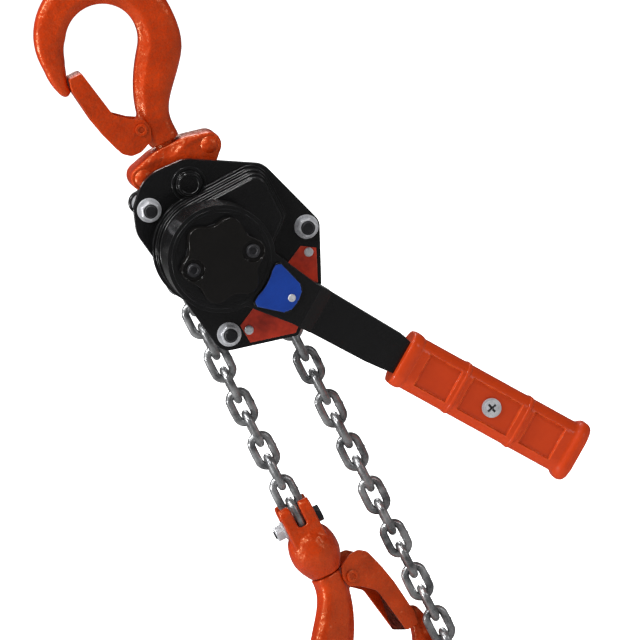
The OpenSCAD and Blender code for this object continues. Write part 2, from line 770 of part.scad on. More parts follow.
// Half shell of the lever, open towards the split; s is 1 for the back and -1 for the front
module lever_half(y_face, s, hole_r) {
  pawl_room = selector_reach + 8;
  y_arm = split_y + s * arm_half_t;
  y_past = split_y - s * eps;
  difference() {
    union() {
      slab_between(y_face, split_y) intersection() {
        lever_outline(0);
        translate([-60, -neck_end]) square(60 + neck_end);
      }
      slab_between(y_arm, split_y) lever_outline(0);
      hull() {
        slab_between(y_face, split_y) translate([0.6 - neck_w / 2, -neck_end - 6]) square([neck_w, 8]);
        slab_between(y_arm, split_y) translate([0.6 - neck_w / 2, -ramp_end]) square([neck_w, 16]);
      }
    }
    slab_between(y_face - s * shell_t, y_past) intersection() {
      lever_outline(shell_t);
      translate([-60, -pawl_room]) square([120, 60 + pawl_room]);
    }
    slab_between(y_arm - s * shell_t, y_past) lever_outline(shell_t);
    rod([0, 0], hole_r, split_y - head_depth, split_y + head_depth);
    for (p = lever_bolt_at) rod(p, lever_bolt_r + fixed_gap, split_y - arm_half_t + lever_bolt_skin,
      split_y + head_depth);
    rod([0, -selector_reach], selector_pin_r + run_gap, split_y - head_depth, head_back_y - shell_t - 1);
    rod([0, -grip_start - grip_screw_at], grip_screw_r, split_y - grip_t, split_y + grip_t);
  }
}

module lever_back() {
  color(black_paint) along_lever() lever_half(head_back_y, 1, collar_out_r + run_gap);
}

module lever_front() {
  color(black_paint) along_lever() lever_half(head_front_y, -1, hub_disc_r + 0.3);
}

// Bolts put in from behind, which end inside the front shell
module lever_bolts() {
  color(dark_steel) along_lever() for (p = lever_bolt_at) {
    rod(p, lever_bolt_r, split_y - arm_half_t + lever_bolt_skin + 0.1, split_y + arm_half_t);
    translate([0, 2 * split_y, 0]) mirror([0, 1, 0])
      soft_disc(p, 5, split_y - arm_half_t - 2, split_y - arm_half_t, 1.8);
  }
}

// Rounded section of the grip
module grip_section(w, t) {
  r = t * 0.36;
  hull() for (i = [-1, 1]) for (j = [-1, 1]) translate([i * (w / 2 - r), j * (t / 2 - r)]) circle(r = r);
}

// Moulded grip with two collars, two ribs and three long recesses on each face
module grip() {
  // Where each band starts, its length, and how much wider and thicker it is than the grip
  bands = [[0, 11, 3, 3], [grip_len - 9, 9, 6.5, 4], [grip_len * 0.31, 3, 3, 2],
    [grip_len * 0.6615, 3, 3, 2]];
  recesses = [[16, 27], [52, 42], [104, 26]];
  tang_w = wrist_w - 6 + 0.4;
  tang_t = 2 * arm_half_t + 0.2;
  color(grip_orange) along_lever() translate([0, split_y, -grip_start]) difference() {
    union() {
      mirror([0, 0, 1]) linear_extrude(grip_len) grip_section(grip_w, grip_t);
      for (b = bands) translate([0, 0, -b[0] - b[1]]) linear_extrude(b[1])
        grip_section(grip_w + b[2], grip_t + b[3]);
    }
    translate([0, 0, eps]) mirror([0, 0, 1]) linear_extrude(grip_len - 20 + eps + seat_gap)
      square([tang_w, tang_t], center = true);
    translate([0, 0, 0.1]) mirror([0, 0, 1]) linear_extrude(4.6)
      square([wrist_w + 0.4, tang_t], center = true);
    for (s = [-1, 1]) for (c = recesses) translate([0, s * (grip_t / 2 + eps), -c[0]]) mirror([0, 0, 1])
      linear_extrude(c[1]) square([grip_w * 0.42, 4], center = true);
    rod([0, -grip_screw_at], grip_screw_r, -grip_t, grip_t);
    rod([0, -grip_screw_at], grip_screw_head_r + 0.2, -grip_t, 1.8 - grip_t / 2);
  }
}

module grip_screw() {
  face_y = split_y - grip_t / 2;
  at = [0, -grip_start - grip_screw_at];
  color(zinc) along_lever() {
    rod(at, grip_screw_r - fixed_gap, face_y, face_y + grip_t - 4);
    soft_disc(at, grip_screw_head_r, face_y - 1.4, face_y + 1.8, 2);
  }
}

// Shield outline of the change-over lever, cut concentric with the head
module shield(inset) {
  difference() {
    hull() for (s = [-1, 1]) {
      translate([s * 15.2, -38.3]) circle(r = 2.8 - inset);
      translate([s * 7, -selector_reach + 0.8]) circle(r = 5.2 - inset);
      translate([0, -selector_reach]) circle(r = 5.6 - inset);
    }
    circle(r = shield_arc_r + inset);
  }
}

// Change-over lever on the head, with the pivot that turns the pawl inside
module selector_lever() {
  color(black_paint) along_lever() difference() {
    union() {
      slab(selector_face_y, head_front_y - 0.3) shield(0);
      rod([0, -selector_reach], selector_pin_r, selector_face_y + 1, gear_back_y + 1);
    }
    slab(selector_face_y - eps, selector_face_y + 0.8) shield(1.3);
  }
}

module selector_plate() {
  color(plate_blue) along_lever() slab(selector_face_y + 0.2, selector_face_y + 0.8) difference() {
    shield(1.3 + fixed_gap);
    translate([0, -selector_reach]) circle(r = 1.6);
  }
}

module selector_screw() {
  color(zinc) along_lever() {
    soft_disc([0, -selector_reach], 2.8, selector_face_y - 0.9, selector_face_y + 0.2, 0.9);
    rod([0, -selector_reach], 1.5, selector_face_y + 0.2, selector_face_y + 0.8);
  }
}

// Two-horned pawl that drives the change gear either way, or neither at mid stroke
module change_pawl() {
  horn = selector_reach - change_r - 3;
  color(dark_steel) along_lever() slab(gear_front_y + 1, gear_back_y - 1) translate([0, -selector_reach])
    difference() {
      union() {
        circle(r = 7);
        for (s = [-1, 1]) rotate(s * 12) hull() {
          translate([0, horn]) circle(r = 2);
          circle(r = 4.5);
        }
      }
      circle(r = selector_pin_r + fixed_gap);
    }
}

// ---- Handwheel ----

module handwheel_hub() {
  color(dark_steel) from_hub() difference() {
    rod([0, 0], hub_disc_r, knob_back_y, gear_front_y);
    rod([0, 0], shaft_r + fixed_gap, knob_back_y - eps, gear_front_y + eps);
    for (s = [0, 180]) rod(knob_screw_at(s), 2.5 + fixed_gap, knob_back_y - eps, knob_back_y + 6);
  }
}

function knob_screw_at(turn) = knob_screw_r * [cos(knob_screw_angle + turn), sin(knob_screw_angle + turn)];

// Lobed outline of the handwheel
module lobes(inset) {
  polygon([for (i = [0:3:357]) let (r = knob_r - inset - 2.9 * (1 - cos(6 * (i - knob_screw_angle))))
    [r * cos(i), r * sin(i)]]);
}

// Lobed handwheel, hollow behind, with the two screws in round recesses
module handwheel() {
  color(black_paint) from_hub() difference() {
    union() {
      slab(knob_front_y + 2, knob_back_y - 0.1) lobes(0);
      slab(knob_front_y + 0.8, knob_back_y - 0.1) lobes(1);
      slab(knob_front_y, knob_back_y - 0.1) lobes(2.4);
    }
    rod([0, 0], 13, knob_front_y + 3.5, knob_back_y + eps);
    for (s = [0, 180]) {
      rod(knob_screw_at(s), 2.5 + fixed_gap, knob_front_y - eps, knob_back_y + eps);
      rod(knob_screw_at(s), 7, knob_front_y - eps, knob_front_y + 2);
    }
  }
}

module handwheel_screws() {
  color(dark_steel) from_hub() for (s = [0, 180]) {
    rod(knob_screw_at(s), 2.5, knob_front_y + 2, knob_back_y + 5);
    soft_disc(knob_screw_at(s), 5, knob_front_y - 0.6, knob_front_y + 2, 1.6);
  }
}

// ---- Hooks ----

// Inner radius, radial width and thickness of the hook round its bowl, from the heel to the tip
function bowl_inner(a) = lookup(a, [[heel_angle, bowl_r], [150, bowl_r], [180, bowl_r + 3.5],
  [195, bowl_r + 8], [tip_angle, bowl_r + 14.5]]);
function bowl_width(a) = a < 0
  ? root_w + (heel_w - root_w) * (1 + cos(180 * (1 - a / heel_angle))) / 2
  : lookup(a, [[0, root_w], [90, crown_w], [150, arm_w + 6], [180, arm_w], [195, arm_w - 3],
    [tip_angle, arm_w / 2]]);
function bowl_thick(a) = lookup(a, [[heel_angle, hook_t], [90, hook_t], [180, hook_t - 4],
  [tip_angle, hook_t - 7]]);

// Ring of the bowl at angle a, shrunk towards its centre
function bowl_ring(a, shrink = 1) = let (r = bowl_inner(a) + bowl_width(a) / 2)
  forged_ring([-bowl_offset + r * cos(a), bowl_rise + r * sin(a)], [-sin(a), cos(a)],
    shrink * bowl_width(a), shrink * bowl_thick(a));

// Ring of the neck, from the shank at 0 to the heel at 1
function neck_ring(t) = let (
    r = bowl_r + heel_w / 2,
    end = [-bowl_offset + r * cos(heel_angle), bowl_rise + r * sin(heel_angle)],
    dir = [-sin(heel_angle), cos(heel_angle)],
    path = [[0, 12], [0, 32], end - 22 * dir, end],
    tangent = bezier(path, t + 0.01) - bezier(path, t - 0.01))
  forged_ring(bezier(path, t), tangent / norm(tangent),
    shank_top_w + (heel_w - shank_top_w) * (1 - cos(180 * t)) / 2, hook_t + 2 - 2 * t);

// Forged hook with the shank and collar that turn in its yoke; bare is the shank's length outside the seat
module hook(bare) {
  difference() {
    union() {
      skin(concat([forged_ring([0, bare], [0, 1], shank_top_w + 0.4, hook_t + 3)],
        [for (t = [0:0.1:0.9]) neck_ring(t)],
        [for (a = [heel_angle:12.25:tip_angle - 1]) bowl_ring(a)],
        [bowl_ring(tip_angle, 1), bowl_ring(tip_angle + 3, 0.8), bowl_ring(tip_angle + 5, 0.45)]));
      translate([0, 0, collar_top - 1]) cylinder(d = shank_d, h = bare + 3 - collar_top);
      translate([0, 0, collar_top - collar_t]) cylinder(d = collar_d, h = collar_t);
      slab(-latch_ear_t / 2, latch_ear_t / 2) hull() {
        translate(latch_pivot) circle(r = 6.5);
        translate([latch_pivot[0] + 8, latch_pivot[1] - 4]) circle(r = 6);
        translate([latch_pivot[0] + 9, latch_pivot[1] + 7]) circle(r = 5);
      }
    }
    rod(latch_pivot, latch_pin_d / 2 + fixed_gap, -hook_t, hook_t);
    rod(latch_pivot, latch_coil_r + spring_wire_r + 0.4, latch_ear_t / 2, hook_t);
  }
}

// Side outline of a latch
module latch_outline() {
  tip_z = bowl_rise - 13;
  tip_x = -bowl_offset - bowl_r * 1.3;
  polygon([[tip_x, tip_z], [tip_x + 10, tip_z], [-25.5, 38], [-16, 29.5], [-7, 24], [-5.4, 17], [-9, 8.4],
    [-19.5, 4.2], [-27, 4.8], [-32.5, 9.5], [-37.5, 25], [-41, 40], [tip_x - 2, tip_z - 9]]);
}

// Pressed latch: two cheeks on the pin, joined by a web behind the tip
module latch() {
  difference() {
    intersection() {
      slab(-latch_half_t, latch_half_t) latch_outline();
      union() {
        slab(-hook_t, hook_t) translate([-60, 30]) square([60, 60]);
        for (s = [-1, 1]) translate([-60, s > 0 ? latch_half_t - latch_t : -latch_half_t, 0])
          cube([60, latch_t, 60]);
      }
    }
    slab(latch_t - latch_half_t, latch_half_t - latch_t) for (down = [latch_t * 0.4, 20])
      translate([latch_t, -down]) latch_outline();
    rod(latch_pivot, latch_pin_d / 2 + run_gap, -hook_t, hook_t);
  }
}

module latch_pin() {
  rod(latch_pivot, latch_pin_d / 2, -latch_half_t - 0.3, latch_half_t + 0.3);
  for (m = [0, 1]) mirror([0, m, 0])
    rod(latch_pivot, latch_pin_d / 2 + 1.6, latch_half_t + seat_gap, latch_half_t + 1.8);
}

// Torsion spring on the latch pin, beside the hook's ear
module latch_spring() {
  turns = 2;
  steps = 8;
  rise = (2 * spring_wire_r + 0.5) / steps;
  start = latch_ear_t / 2 + spring_wire_r + seat_gap;
  skin([for (i = [0:steps * turns]) let (a = 360 * i / steps)
    [for (k = [0:5]) let (r = latch_coil_r + spring_wire_r * cos(60 * k))
      [latch_pivot[0] + r * cos(a), start + i * rise - spring_wire_r * sin(60 * k),
        latch_pivot[1] + r * sin(a)]]]);
}

// Places the top hook's parts above the suspension pin
module at_top_hook() {
  from_hub() translate([pin_side, 0, pin_rise + mouth_above_pin]) children();
}

// Places the same parts, turned over, below the bottom yoke
module at_bottom_hook() {
  from_hub() translate([-fall_x, 0, bottom_mouth_z]) rotate([0, 0, bottom_turn]) rotate([0, 180, 0])
    children();
}

module top_hook() {
  color(orange_red) at_top_hook() hook(top_bare);
}

module top_latch() {
  color(orange_red) at_top_hook() latch();
}

module top_latch_pin() {
  color(zinc) at_top_hook() latch_pin();
}

module top_latch_spring() {
  color(zinc) at_top_hook() latch_spring();
}

module bottom_hook() {
  color(orange_red) at_bottom_hook() hook(bottom_bare);
}

module bottom_latch() {
  color(orange_red) at_bottom_hook() latch();
}

module bottom_latch_pin() {
  color(zinc) at_bottom_hook() latch_pin();
}

module bottom_latch_spring() {
  color(zinc) at_bottom_hook() latch_spring();
}

// ---- Yokes ----

// Space that a hook's shank and collar take in a yoke, with their running gaps
module shank_space() {
  translate([0, 0, collar_top - 2]) cylinder(d = shank_d + 2 * run_gap, h = 40);
  translate([0, 0, collar_top - collar_t - 0.2]) cylinder(d = collar_d + 0.6, h = collar_t + 0.35);
}

// Front outline of the top yoke, from its mouth down to its eye
module yoke_outline() {
  hull() {
    translate([-13, -4]) square([26, 4]);
    for (p = yoke_rivet_at) translate(p) circle(r = lobe_r);
    for (s = [-1, 1]) translate([s * 14, 1.8 - mouth_above_pin]) circle(r = 7.4);
    translate([0, -mouth_above_pin]) circle(r = eye_r);
  }
}

// Half of the top yoke; s is -1 for the front and 1 for the back
module top_yoke_half(s) {
  at_top_hook() difference() {
    intersection() {
      slab(s > 0 ? 0.1 : -yoke_t / 2, s > 0 ? yoke_t / 2 : -0.1) yoke_outline();
      rotate([90, 0, 90]) linear_extrude(2 * rivet_spread, center = true) polygon([[-yoke_t / 2, -45],
        [yoke_t / 2, -45], [yoke_t / 2, -8], [yoke_t / 2 - 3, 0], [3 - yoke_t / 2, 0], [-yoke_t / 2, -8]]);
    }
    shank_space();
    rod([0, -mouth_above_pin], pin_d / 2 + run_gap, -yoke_t, yoke_t);
    for (p = yoke_rivet_at) rod(p, yoke_rivet_r + fixed_gap, -yoke_t, yoke_t);
  }
}

module top_yoke_front() {
  color(orange_red) top_yoke_half(-1);
}

module top_yoke_back() {
  color(orange_red) top_yoke_half(1);
}

module top_yoke_rivets() {
  color(orange_red) at_top_hook() for (p = yoke_rivet_at) {
    rod(p, yoke_rivet_r, -yoke_t / 2, yoke_t / 2);
    for (m = [0, 1]) mirror([0, m, 0]) soft_disc(p, yoke_rivet_r + 2, -yoke_t / 2 - 0.8, -yoke_t / 2, 0.8);
  }
}

// Half of the bottom yoke; s is -1 for the left and 1 for the right
module bottom_yoke_half(s) {
  ear_gap = chain_wire_d / 2 + 0.35;
  ear_top = yoke_bolt_z + 17.5;
  color(orange_red) from_hub() translate([-fall_x, 0, 0]) difference() {
    intersection() {
      union() {
        translate([0, 0, ball_top_z - ball_h]) rotate_extrude() polygon([[0, 0], [11.5, 0],
          [ball_d / 2 - 2.5, 8], [ball_d / 2 - 0.4, 14], [ball_d / 2, 19], [ball_d / 2 - 0.6, 25],
          [ball_d / 2 - 2.5, 31], [ball_d / 2 - 4.5, ball_h], [0, ball_h]]);
        rotate([90, 0, 90]) translate([0, 0, -ears_w / 2]) linear_extrude(ears_w) hull() {
          translate([-13, ball_top_z - 6]) square([26, 4]);
          for (y = [-1, 1]) translate([y * 6, ear_top - 6]) circle(r = 6);
        }
      }
      translate([s > 0 ? 0.1 : -50.1, -50, ball_top_z - 60]) cube([50, 100, 120]);
    }
    translate([-ear_gap, -30, yoke_bolt_z]) cube([2 * ear_gap, 60, 40]);
    translate([-ear_gap, 0, yoke_bolt_z]) rotate([0, 90, 0]) cylinder(r = 11.6, h = 2 * ear_gap);
    translate([-30, -7.6, yoke_bolt_z + 6.5]) cube([60, 15.2, 40]);
    translate([-30, 0, yoke_bolt_z]) rotate([0, 90, 0]) cylinder(d = yoke_bolt_d + 2 * fixed_gap, h = 60);
    translate([0, 0, bottom_mouth_z]) rotate([0, 180, 0]) shank_space();
  }
}

module bottom_yoke_left() {
  bottom_yoke_half(-1);
}

module bottom_yoke_right() {
  bottom_yoke_half(1);
}

// Bolt through the yoke's ears and the last link
module yoke_bolt() {
  color(dark_steel) from_hub() translate([-fall_x, 0, yoke_bolt_z]) rotate([0, 90, 0]) {
    translate([0, 0, -ears_w / 2 - 8.5]) cylinder(d = yoke_bolt_d, h = ears_w + 8.5);
    translate([0, 0, ears_w / 2]) cylinder(r = 6.4, h = 4.4, $fn = 6);
  }
}

module yoke_nut() {
  color(zinc) from_hub() translate([-fall_x - ears_w / 2, 0, yoke_bolt_z]) rotate([0, -90, 0]) difference() {
    union() {
      cylinder(r = 7, h = 1.4);
      cylinder(r = 6.4, h = 7, $fn = 6);
    }
    translate([0, 0, -1]) cylinder(d = yoke_bolt_d + 2 * fixed_gap, h = 12);
  }
}

top_hook();
top_latch();
top_latch_pin();
top_latch_spring();
top_yoke_front();
top_yoke_back();
top_yoke_rivets();
suspension_pin();
side_plate_front();
side_plate_back();
brake_cover();
gear_cover();
stay_bolts();
stay_spacers();
stay_nuts();
nameplate();
nameplate_rivets();
wheel_bearings();
pocket_wheel();
load_gear();
chain_stripper();
stripper_pins();
disc_gear_upper();
disc_gear_lower();
drive_shaft();
friction_hub();
friction_nut();
friction_discs();
ratchet_disc();
ratchet_pawl_upper();
ratchet_pawl_lower();
pawl_pins();
lever_back();
lever_front();
lever_bolts();
grip();
grip_screw();
selector_lever();
selector_plate();
selector_screw();
change_pawl();
handwheel_hub();
handwheel();
handwheel_screws();
wrapped_links();
load_chain();
slack_chain();
chain_stop();
bottom_yoke_left();
bottom_yoke_right();
yoke_bolt();
yoke_nut();
bottom_hook();
bottom_latch();
bottom_latch_pin();
bottom_latch_spring();
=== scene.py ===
"""Ratchet lever chain hoist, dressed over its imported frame."""

import json
import logging
import math
from contextlib import contextmanager
from dataclasses import dataclass, field
from enum import Enum
from typing import Callable, Iterator, Sequence

import bmesh
import bpy
from mathutils import Matrix, Vector


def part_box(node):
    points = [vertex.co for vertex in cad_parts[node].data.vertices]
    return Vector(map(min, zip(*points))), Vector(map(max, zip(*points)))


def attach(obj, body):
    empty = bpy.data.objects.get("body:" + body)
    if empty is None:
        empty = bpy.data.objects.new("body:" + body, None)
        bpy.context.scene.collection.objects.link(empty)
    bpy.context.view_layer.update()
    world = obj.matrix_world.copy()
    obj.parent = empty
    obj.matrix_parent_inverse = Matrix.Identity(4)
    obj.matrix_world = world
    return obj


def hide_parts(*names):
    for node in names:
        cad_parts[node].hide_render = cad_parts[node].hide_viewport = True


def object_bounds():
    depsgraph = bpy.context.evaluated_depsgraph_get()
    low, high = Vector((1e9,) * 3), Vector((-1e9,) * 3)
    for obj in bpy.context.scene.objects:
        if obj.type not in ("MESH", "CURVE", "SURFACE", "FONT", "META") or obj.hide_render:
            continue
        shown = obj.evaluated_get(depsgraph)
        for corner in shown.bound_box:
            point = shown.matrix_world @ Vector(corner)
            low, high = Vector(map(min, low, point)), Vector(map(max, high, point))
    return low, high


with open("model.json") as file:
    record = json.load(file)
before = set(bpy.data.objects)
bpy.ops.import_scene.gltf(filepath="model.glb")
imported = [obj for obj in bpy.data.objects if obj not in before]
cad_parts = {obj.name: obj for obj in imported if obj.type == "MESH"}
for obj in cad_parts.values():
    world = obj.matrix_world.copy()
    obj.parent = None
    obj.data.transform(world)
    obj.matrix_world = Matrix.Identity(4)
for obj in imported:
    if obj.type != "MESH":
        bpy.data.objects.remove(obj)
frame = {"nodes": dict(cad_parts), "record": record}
CAD_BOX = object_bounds()

Piece = bpy.types.Object
Socket = bpy.types.NodeSocket
NodeTree = bpy.types.NodeTree

log = logging.getLogger("hoist")
logging.basicConfig(level=logging.INFO, format="%(name)s: %(message)s")

MM = 0.001

# Size of the even faces that forged pieces are relaxed on, in millimetres
FORGED_GRAIN = 0.8

# Sizes are in millimetres. The two falls hang at either side of the hub's axis, and the ball
# yoke's bolt is at the foot of the load fall.
FALL_X = 28.612
YOKE_BOLT_Z = -215.35

# X and Z of the suspension pin and of the three stays, from the hub's axis
PIN_AT = (7.8, 48.5)
STAYS = ((-26.3, 44.8), (69.9, -18.9), (-15.0, -62.9))

# Planes along Y, from the chain's plane
FLANGE_Y = -23.0
DRUM_FACE_Y = -50.0
HEAD_FRONT_Y = -84.0
SPLIT_Y = -68.0
KNOB_BACK_Y = -85.2
KNOB_FRONT_Y = -94.2


# ---- Places ----


def moved_by(x: float, y: float, z: float) -> Matrix:
    """Gives a move in millimetres."""
    return Matrix.Translation(Vector((x, y, z)) * MM)


def turned_by(degrees: float, axis: str) -> Matrix:
    """Gives a turn about an axis through the origin."""
    return Matrix.Rotation(math.radians(degrees), 4, axis)


# The hub's axis, where the handwheel, the lever and the chain wheel turn
HUB_FRAME = Matrix.Translation((0.0002, 0.0, -0.1935))
LEVER_FRAME = HUB_FRAME @ turned_by(-33.8, "Y")
TOP_HOOK_FRAME = HUB_FRAME @ moved_by(PIN_AT[0], 0.0, 78.5)
FALL_FOOT_FRAME = HUB_FRAME @ moved_by(-FALL_X, 0.0, -248.25)
BOTTOM_HOOK_FRAME = FALL_FOOT_FRAME @ turned_by(20, "Z") @ turned_by(180, "Y")


# ---- The modelling bench ----


def lay_down_tools() -> None:
    """Goes back to object mode with nothing selected."""
    if bpy.context.mode != "OBJECT":
        bpy.ops.object.mode_set(mode="OBJECT")
    bpy.ops.object.select_all(action="DESELECT")


def take_up(piece: Piece) -> None:
    """Makes a piece the only selected and the active one.

    Args:
        piece: the piece to work on.
    """
    lay_down_tools()
    piece.select_set(True)
    bpy.context.view_layer.objects.active = piece


def settle(piece: Piece, where: Matrix | None = None) -> Piece:
    """Puts a piece where it belongs and moves its place into its mesh.

    Args:
        piece: the piece to place.
        where: the frame that it was modelled in, or None if it is in place.

    Returns:
        The same piece, with its object at the origin.
    """
    take_up(piece)
    if where is not None:
        piece.matrix_world = where @ piece.matrix_world
    bpy.ops.object.transform_apply(location=True, rotation=True, scale=True)
    return piece


def block_out(name: str, primitive: Callable[..., object], **options: object) -> Piece:
    """Adds a primitive at its size and place as the start of a piece.

    Args:
        name: name of the piece.
        primitive: operator that adds the primitive.
        **options: size, place and turn, as the operator takes them.

    Returns:
        The new piece, with its place in its mesh.
    """
    lay_down_tools()
    primitive(**options)
    piece = bpy.context.active_object
    piece.name = piece.data.name = name
    return settle(piece)


@contextmanager
def shaping(piece: Piece) -> Iterator[None]:
    """Opens a piece in edit mode with nothing selected, and closes it again.

    Args:
        piece: the piece to shape.
    """
    take_up(piece)
    bpy.ops.object.mode_set(mode="EDIT")
    bpy.ops.mesh.select_mode(type="FACE")
    bpy.ops.mesh.select_all(action="DESELECT")
    yield
    bpy.ops.object.mode_set(mode="OBJECT")


class Element(Enum):
    """What a tool picks, by the name of its list in a bmesh."""

    FACE = "faces"
    EDGE = "edges"
    VERT = "verts"


def pick(kind: Element, test: Callable[[object], bool]) -> None:
    """Selects the faces, edges or vertices that pass a test, and only those.

    Args:
        kind: which of them.
        test: takes a bmesh element and says whether it is wanted.
    """
    bpy.ops.mesh.select_mode(type=kind.name)
    bpy.ops.mesh.select_all(action="DESELECT")
    mesh = bpy.context.active_object.data
    shape = bmesh.from_edit_mesh(mesh)
    for element in getattr(shape, kind.value):
        if test(element):
            element.select_set(True)
    shape.select_flush_mode()
    bmesh.update_edit_mesh(mesh)


def pick_all() -> None:
    """Selects the whole of the piece being shaped."""
    bpy.ops.mesh.select_all(action="SELECT")


def middle(element: object) -> Vector:
    """Gives an edge's or a face's centre in millimetres.

    Args:
        element: a bmesh edge or face.

    Returns:
        Its centre.
    """
    points = [v.co for v in element.verts]
    return sum(points, Vector()) / len(points) / MM


def facing(x: float, y: float, z: float) -> Callable[[object], bool]:
    """Makes a test for faces that look one way, within some 25 degrees.

    Args:
        x: the way they look, along X.
        y: the same along Y.
        z: the same along Z.

    Returns:
        The test.
    """
    return lambda face: face.normal.dot(Vector((x, y, z))) > 0.9


def applied(piece: Piece, kind: str, **settings: object) -> Piece:
    """Adds a modifier to a piece and applies it.

    Args:
        piece: the piece to work on.
        kind: the modifier's type.
        **settings: its settings.

    Returns:
        The same piece.
    """
    take_up(piece)
    modifier = piece.modifiers.new(kind.title(), kind)
    for key, value in settings.items():
        setattr(modifier, key, value)
    bpy.ops.object.modifier_apply(modifier=modifier.name)
    return piece


def bored(piece: Piece, cutter: Piece) -> Piece:
    """Cuts a piece with another, which is used up.

    Args:
        piece: the piece to cut.
        cutter: the piece that is taken out of it.

    Returns:
        The cut piece.
    """
    applied(piece, "BOOLEAN", operation="DIFFERENCE", object=cutter, solver="EXACT")
    bpy.data.objects.remove(cutter)
    return piece


def eased(piece: Piece, width: float, segments: int = 2, angle: float = 30) -> Piece:
    """Rounds every edge sharper than an angle.

    Args:
        piece: the piece to work on.
        width: width of the rounding in millimetres.
        segments: how many facets round the edge.
        angle: edges sharper than this, in degrees, are rounded.

    Returns:
        The same piece.
    """
    return applied(
        piece,
        "BEVEL",
        width=width * MM,
        segments=segments,
        limit_method="ANGLE",
        angle_limit=math.radians(angle),
        use_clamp_overlap=True,
        miter_outer="MITER_ARC",
    )


def smoothed(piece: Piece, angle: float = 40) -> Piece:
    """Shades a piece smooth, up to an angle in degrees.

    Args:
        piece: the piece to shade.
        angle: edges sharper than this stay sharp.

    Returns:
        The same piece.
    """
    take_up(piece)
    bpy.ops.object.shade_smooth_by_angle(angle=math.radians(angle))
    return applied(piece, "WEIGHTED_NORMAL", keep_sharp=True)


def joined(name: str, parts: Sequence[Piece]) -> Piece:
    """Joins parts into one piece.

    Args:
        name: name of the piece.
        parts: what it is made of.

    Returns:
        The joined piece.
    """
    lay_down_tools()
    for part in parts:
        part.select_set(True)
    bpy.context.view_layer.objects.active = parts[0]
    bpy.ops.object.join()
    parts[0].name = parts[0].data.name = name
    return parts[0]


def another(piece: Piece, name: str, where: Matrix) -> Piece:
    """Copies a piece, with its own mesh, to another place.

    Args:
        piece: the piece to copy.
        name: name of the copy.
        where: how the copy is moved from the first one.

    Returns:
        The copy.
    """
    copy = piece.copy()
    copy.data = piece.data.copy()
    bpy.context.scene.collection.objects.link(copy)
    copy.name = copy.data.name = name
    return settle(copy, where)


def casting_of(node: str, name: str) -> Piece:
    """Copies a construction part's mesh as the start of a finer piece.

    Args:
        node: name of the construction part.
        name: name of the piece.

    Returns:
        The copy, with its triangles merged into flat faces.
    """
    source = frame["nodes"][node]
    piece = bpy.data.objects.new(name, source.data.copy())
    piece.data.name = name
    piece.data.materials.clear()
    bpy.context.scene.collection.objects.link(piece)
    with shaping(piece):
        pick_all()
        bpy.ops.mesh.remove_doubles(threshold=0.00001)
        bpy.ops.mesh.dissolve_limited(angle_limit=math.radians(0.6))
    return piece


def relaxed(piece: Piece, grain: float, passes: int) -> Piece:
    """Rounds a piece as hammer forging does: small even faces, then relaxed.

    Args:
        piece: the piece to round.
        grain: size of the new faces, in millimetres.
        passes: how often the surface is relaxed.

    Returns:
        The same piece.
    """
    applied(piece, "REMESH", mode="VOXEL", voxel_size=grain * MM, adaptivity=0.0)
    return applied(piece, "SMOOTH", factor=0.5, iterations=passes)


def lying(at: Sequence[float], radius: float, y_front: float, y_back: float, sides: int
          ) -> dict[str, object]:
    """Gives the options of a cylinder that lies along Y.

    Args:
        at: X and Z of its axis, in millimetres.
        radius: its radius in millimetres.
        y_front: where it starts, in millimetres.
        y_back: where it ends, in millimetres.
        sides: facets round it.

    Returns:
        The options, as the operator takes them.
    """
    return {
        "vertices": sides,
        "radius": radius * MM,
        "depth": (y_back - y_front) * MM,
        "location": Vector((at[0], (y_front + y_back) / 2, at[1])) * MM,
        "rotation": (math.pi / 2, 0, 0),
    }


def rod(name: str, at: Sequence[float], radius: float, y_front: float, y_back: float,
        sides: int = 48) -> Piece:
    """Blocks out a round bar along Y.

    Args:
        name: name of the piece.
        at: X and Z of its axis, in millimetres.
        radius: its radius in millimetres.
        y_front: where it starts, in millimetres.
        y_back: where it ends, in millimetres.
        sides: facets round it.

    Returns:
        The bar, in the frame that its numbers are given in.
    """
    options = lying(at, radius, y_front, y_back, sides)
    return block_out(name, bpy.ops.mesh.primitive_cylinder_add, **options)


def wrapped(name: str, discs: Sequence[tuple[Sequence[float], float]], y_front: float, y_back: float
            ) -> Piece:
    """Stretches one skin round a row of discs, as a plate's outline is drawn.

    Args:
        name: name of the piece.
        discs: centre and radius of each disc, in millimetres.
        y_front: front plane in millimetres.
        y_back: back plane in millimetres.

    Returns:
        The solid inside the skin.
    """
    (first, first_radius), *others = discs
    piece = rod(name, first, first_radius, y_front, y_back, 64)
    with shaping(piece):
        for at, radius in others:
            bpy.ops.mesh.primitive_cylinder_add(**lying(at, radius, y_front, y_back, 64))
        pick_all()
        bpy.ops.mesh.convex_hull()
        pick_all()
        bpy.ops.mesh.dissolve_limited(angle_limit=math.radians(0.5))
    return piece


def step_front(inset: float, rise: float) -> None:
    """Steps the front face of the piece being shaped: narrower, then nearer or, below zero, deeper.

    Args:
        inset: how far it narrows, in millimetres.
        rise: how far it comes forward, in millimetres.
    """
    front = min(v.co.y for v in bmesh.from_edit_mesh(bpy.context.active_object.data).verts)
    pick(Element.FACE, lambda f: f.normal.y < -0.9 and abs(middle(f).y * MM - front) < 0.0001)
    step_on(inset, rise)


def step_on(inset: float, rise: float) -> None:
    """Steps the faces that are still picked: narrower, then nearer or, below zero, deeper.

    Args:
        inset: how far they narrow, in millimetres.
        rise: how far they come forward, in millimetres.
    """
    if inset:
        bpy.ops.mesh.inset(thickness=inset * MM)
    if rise:
        bpy.ops.mesh.extrude_region_move(TRANSFORM_OT_translate={"value": (0, -rise * MM, 0)})


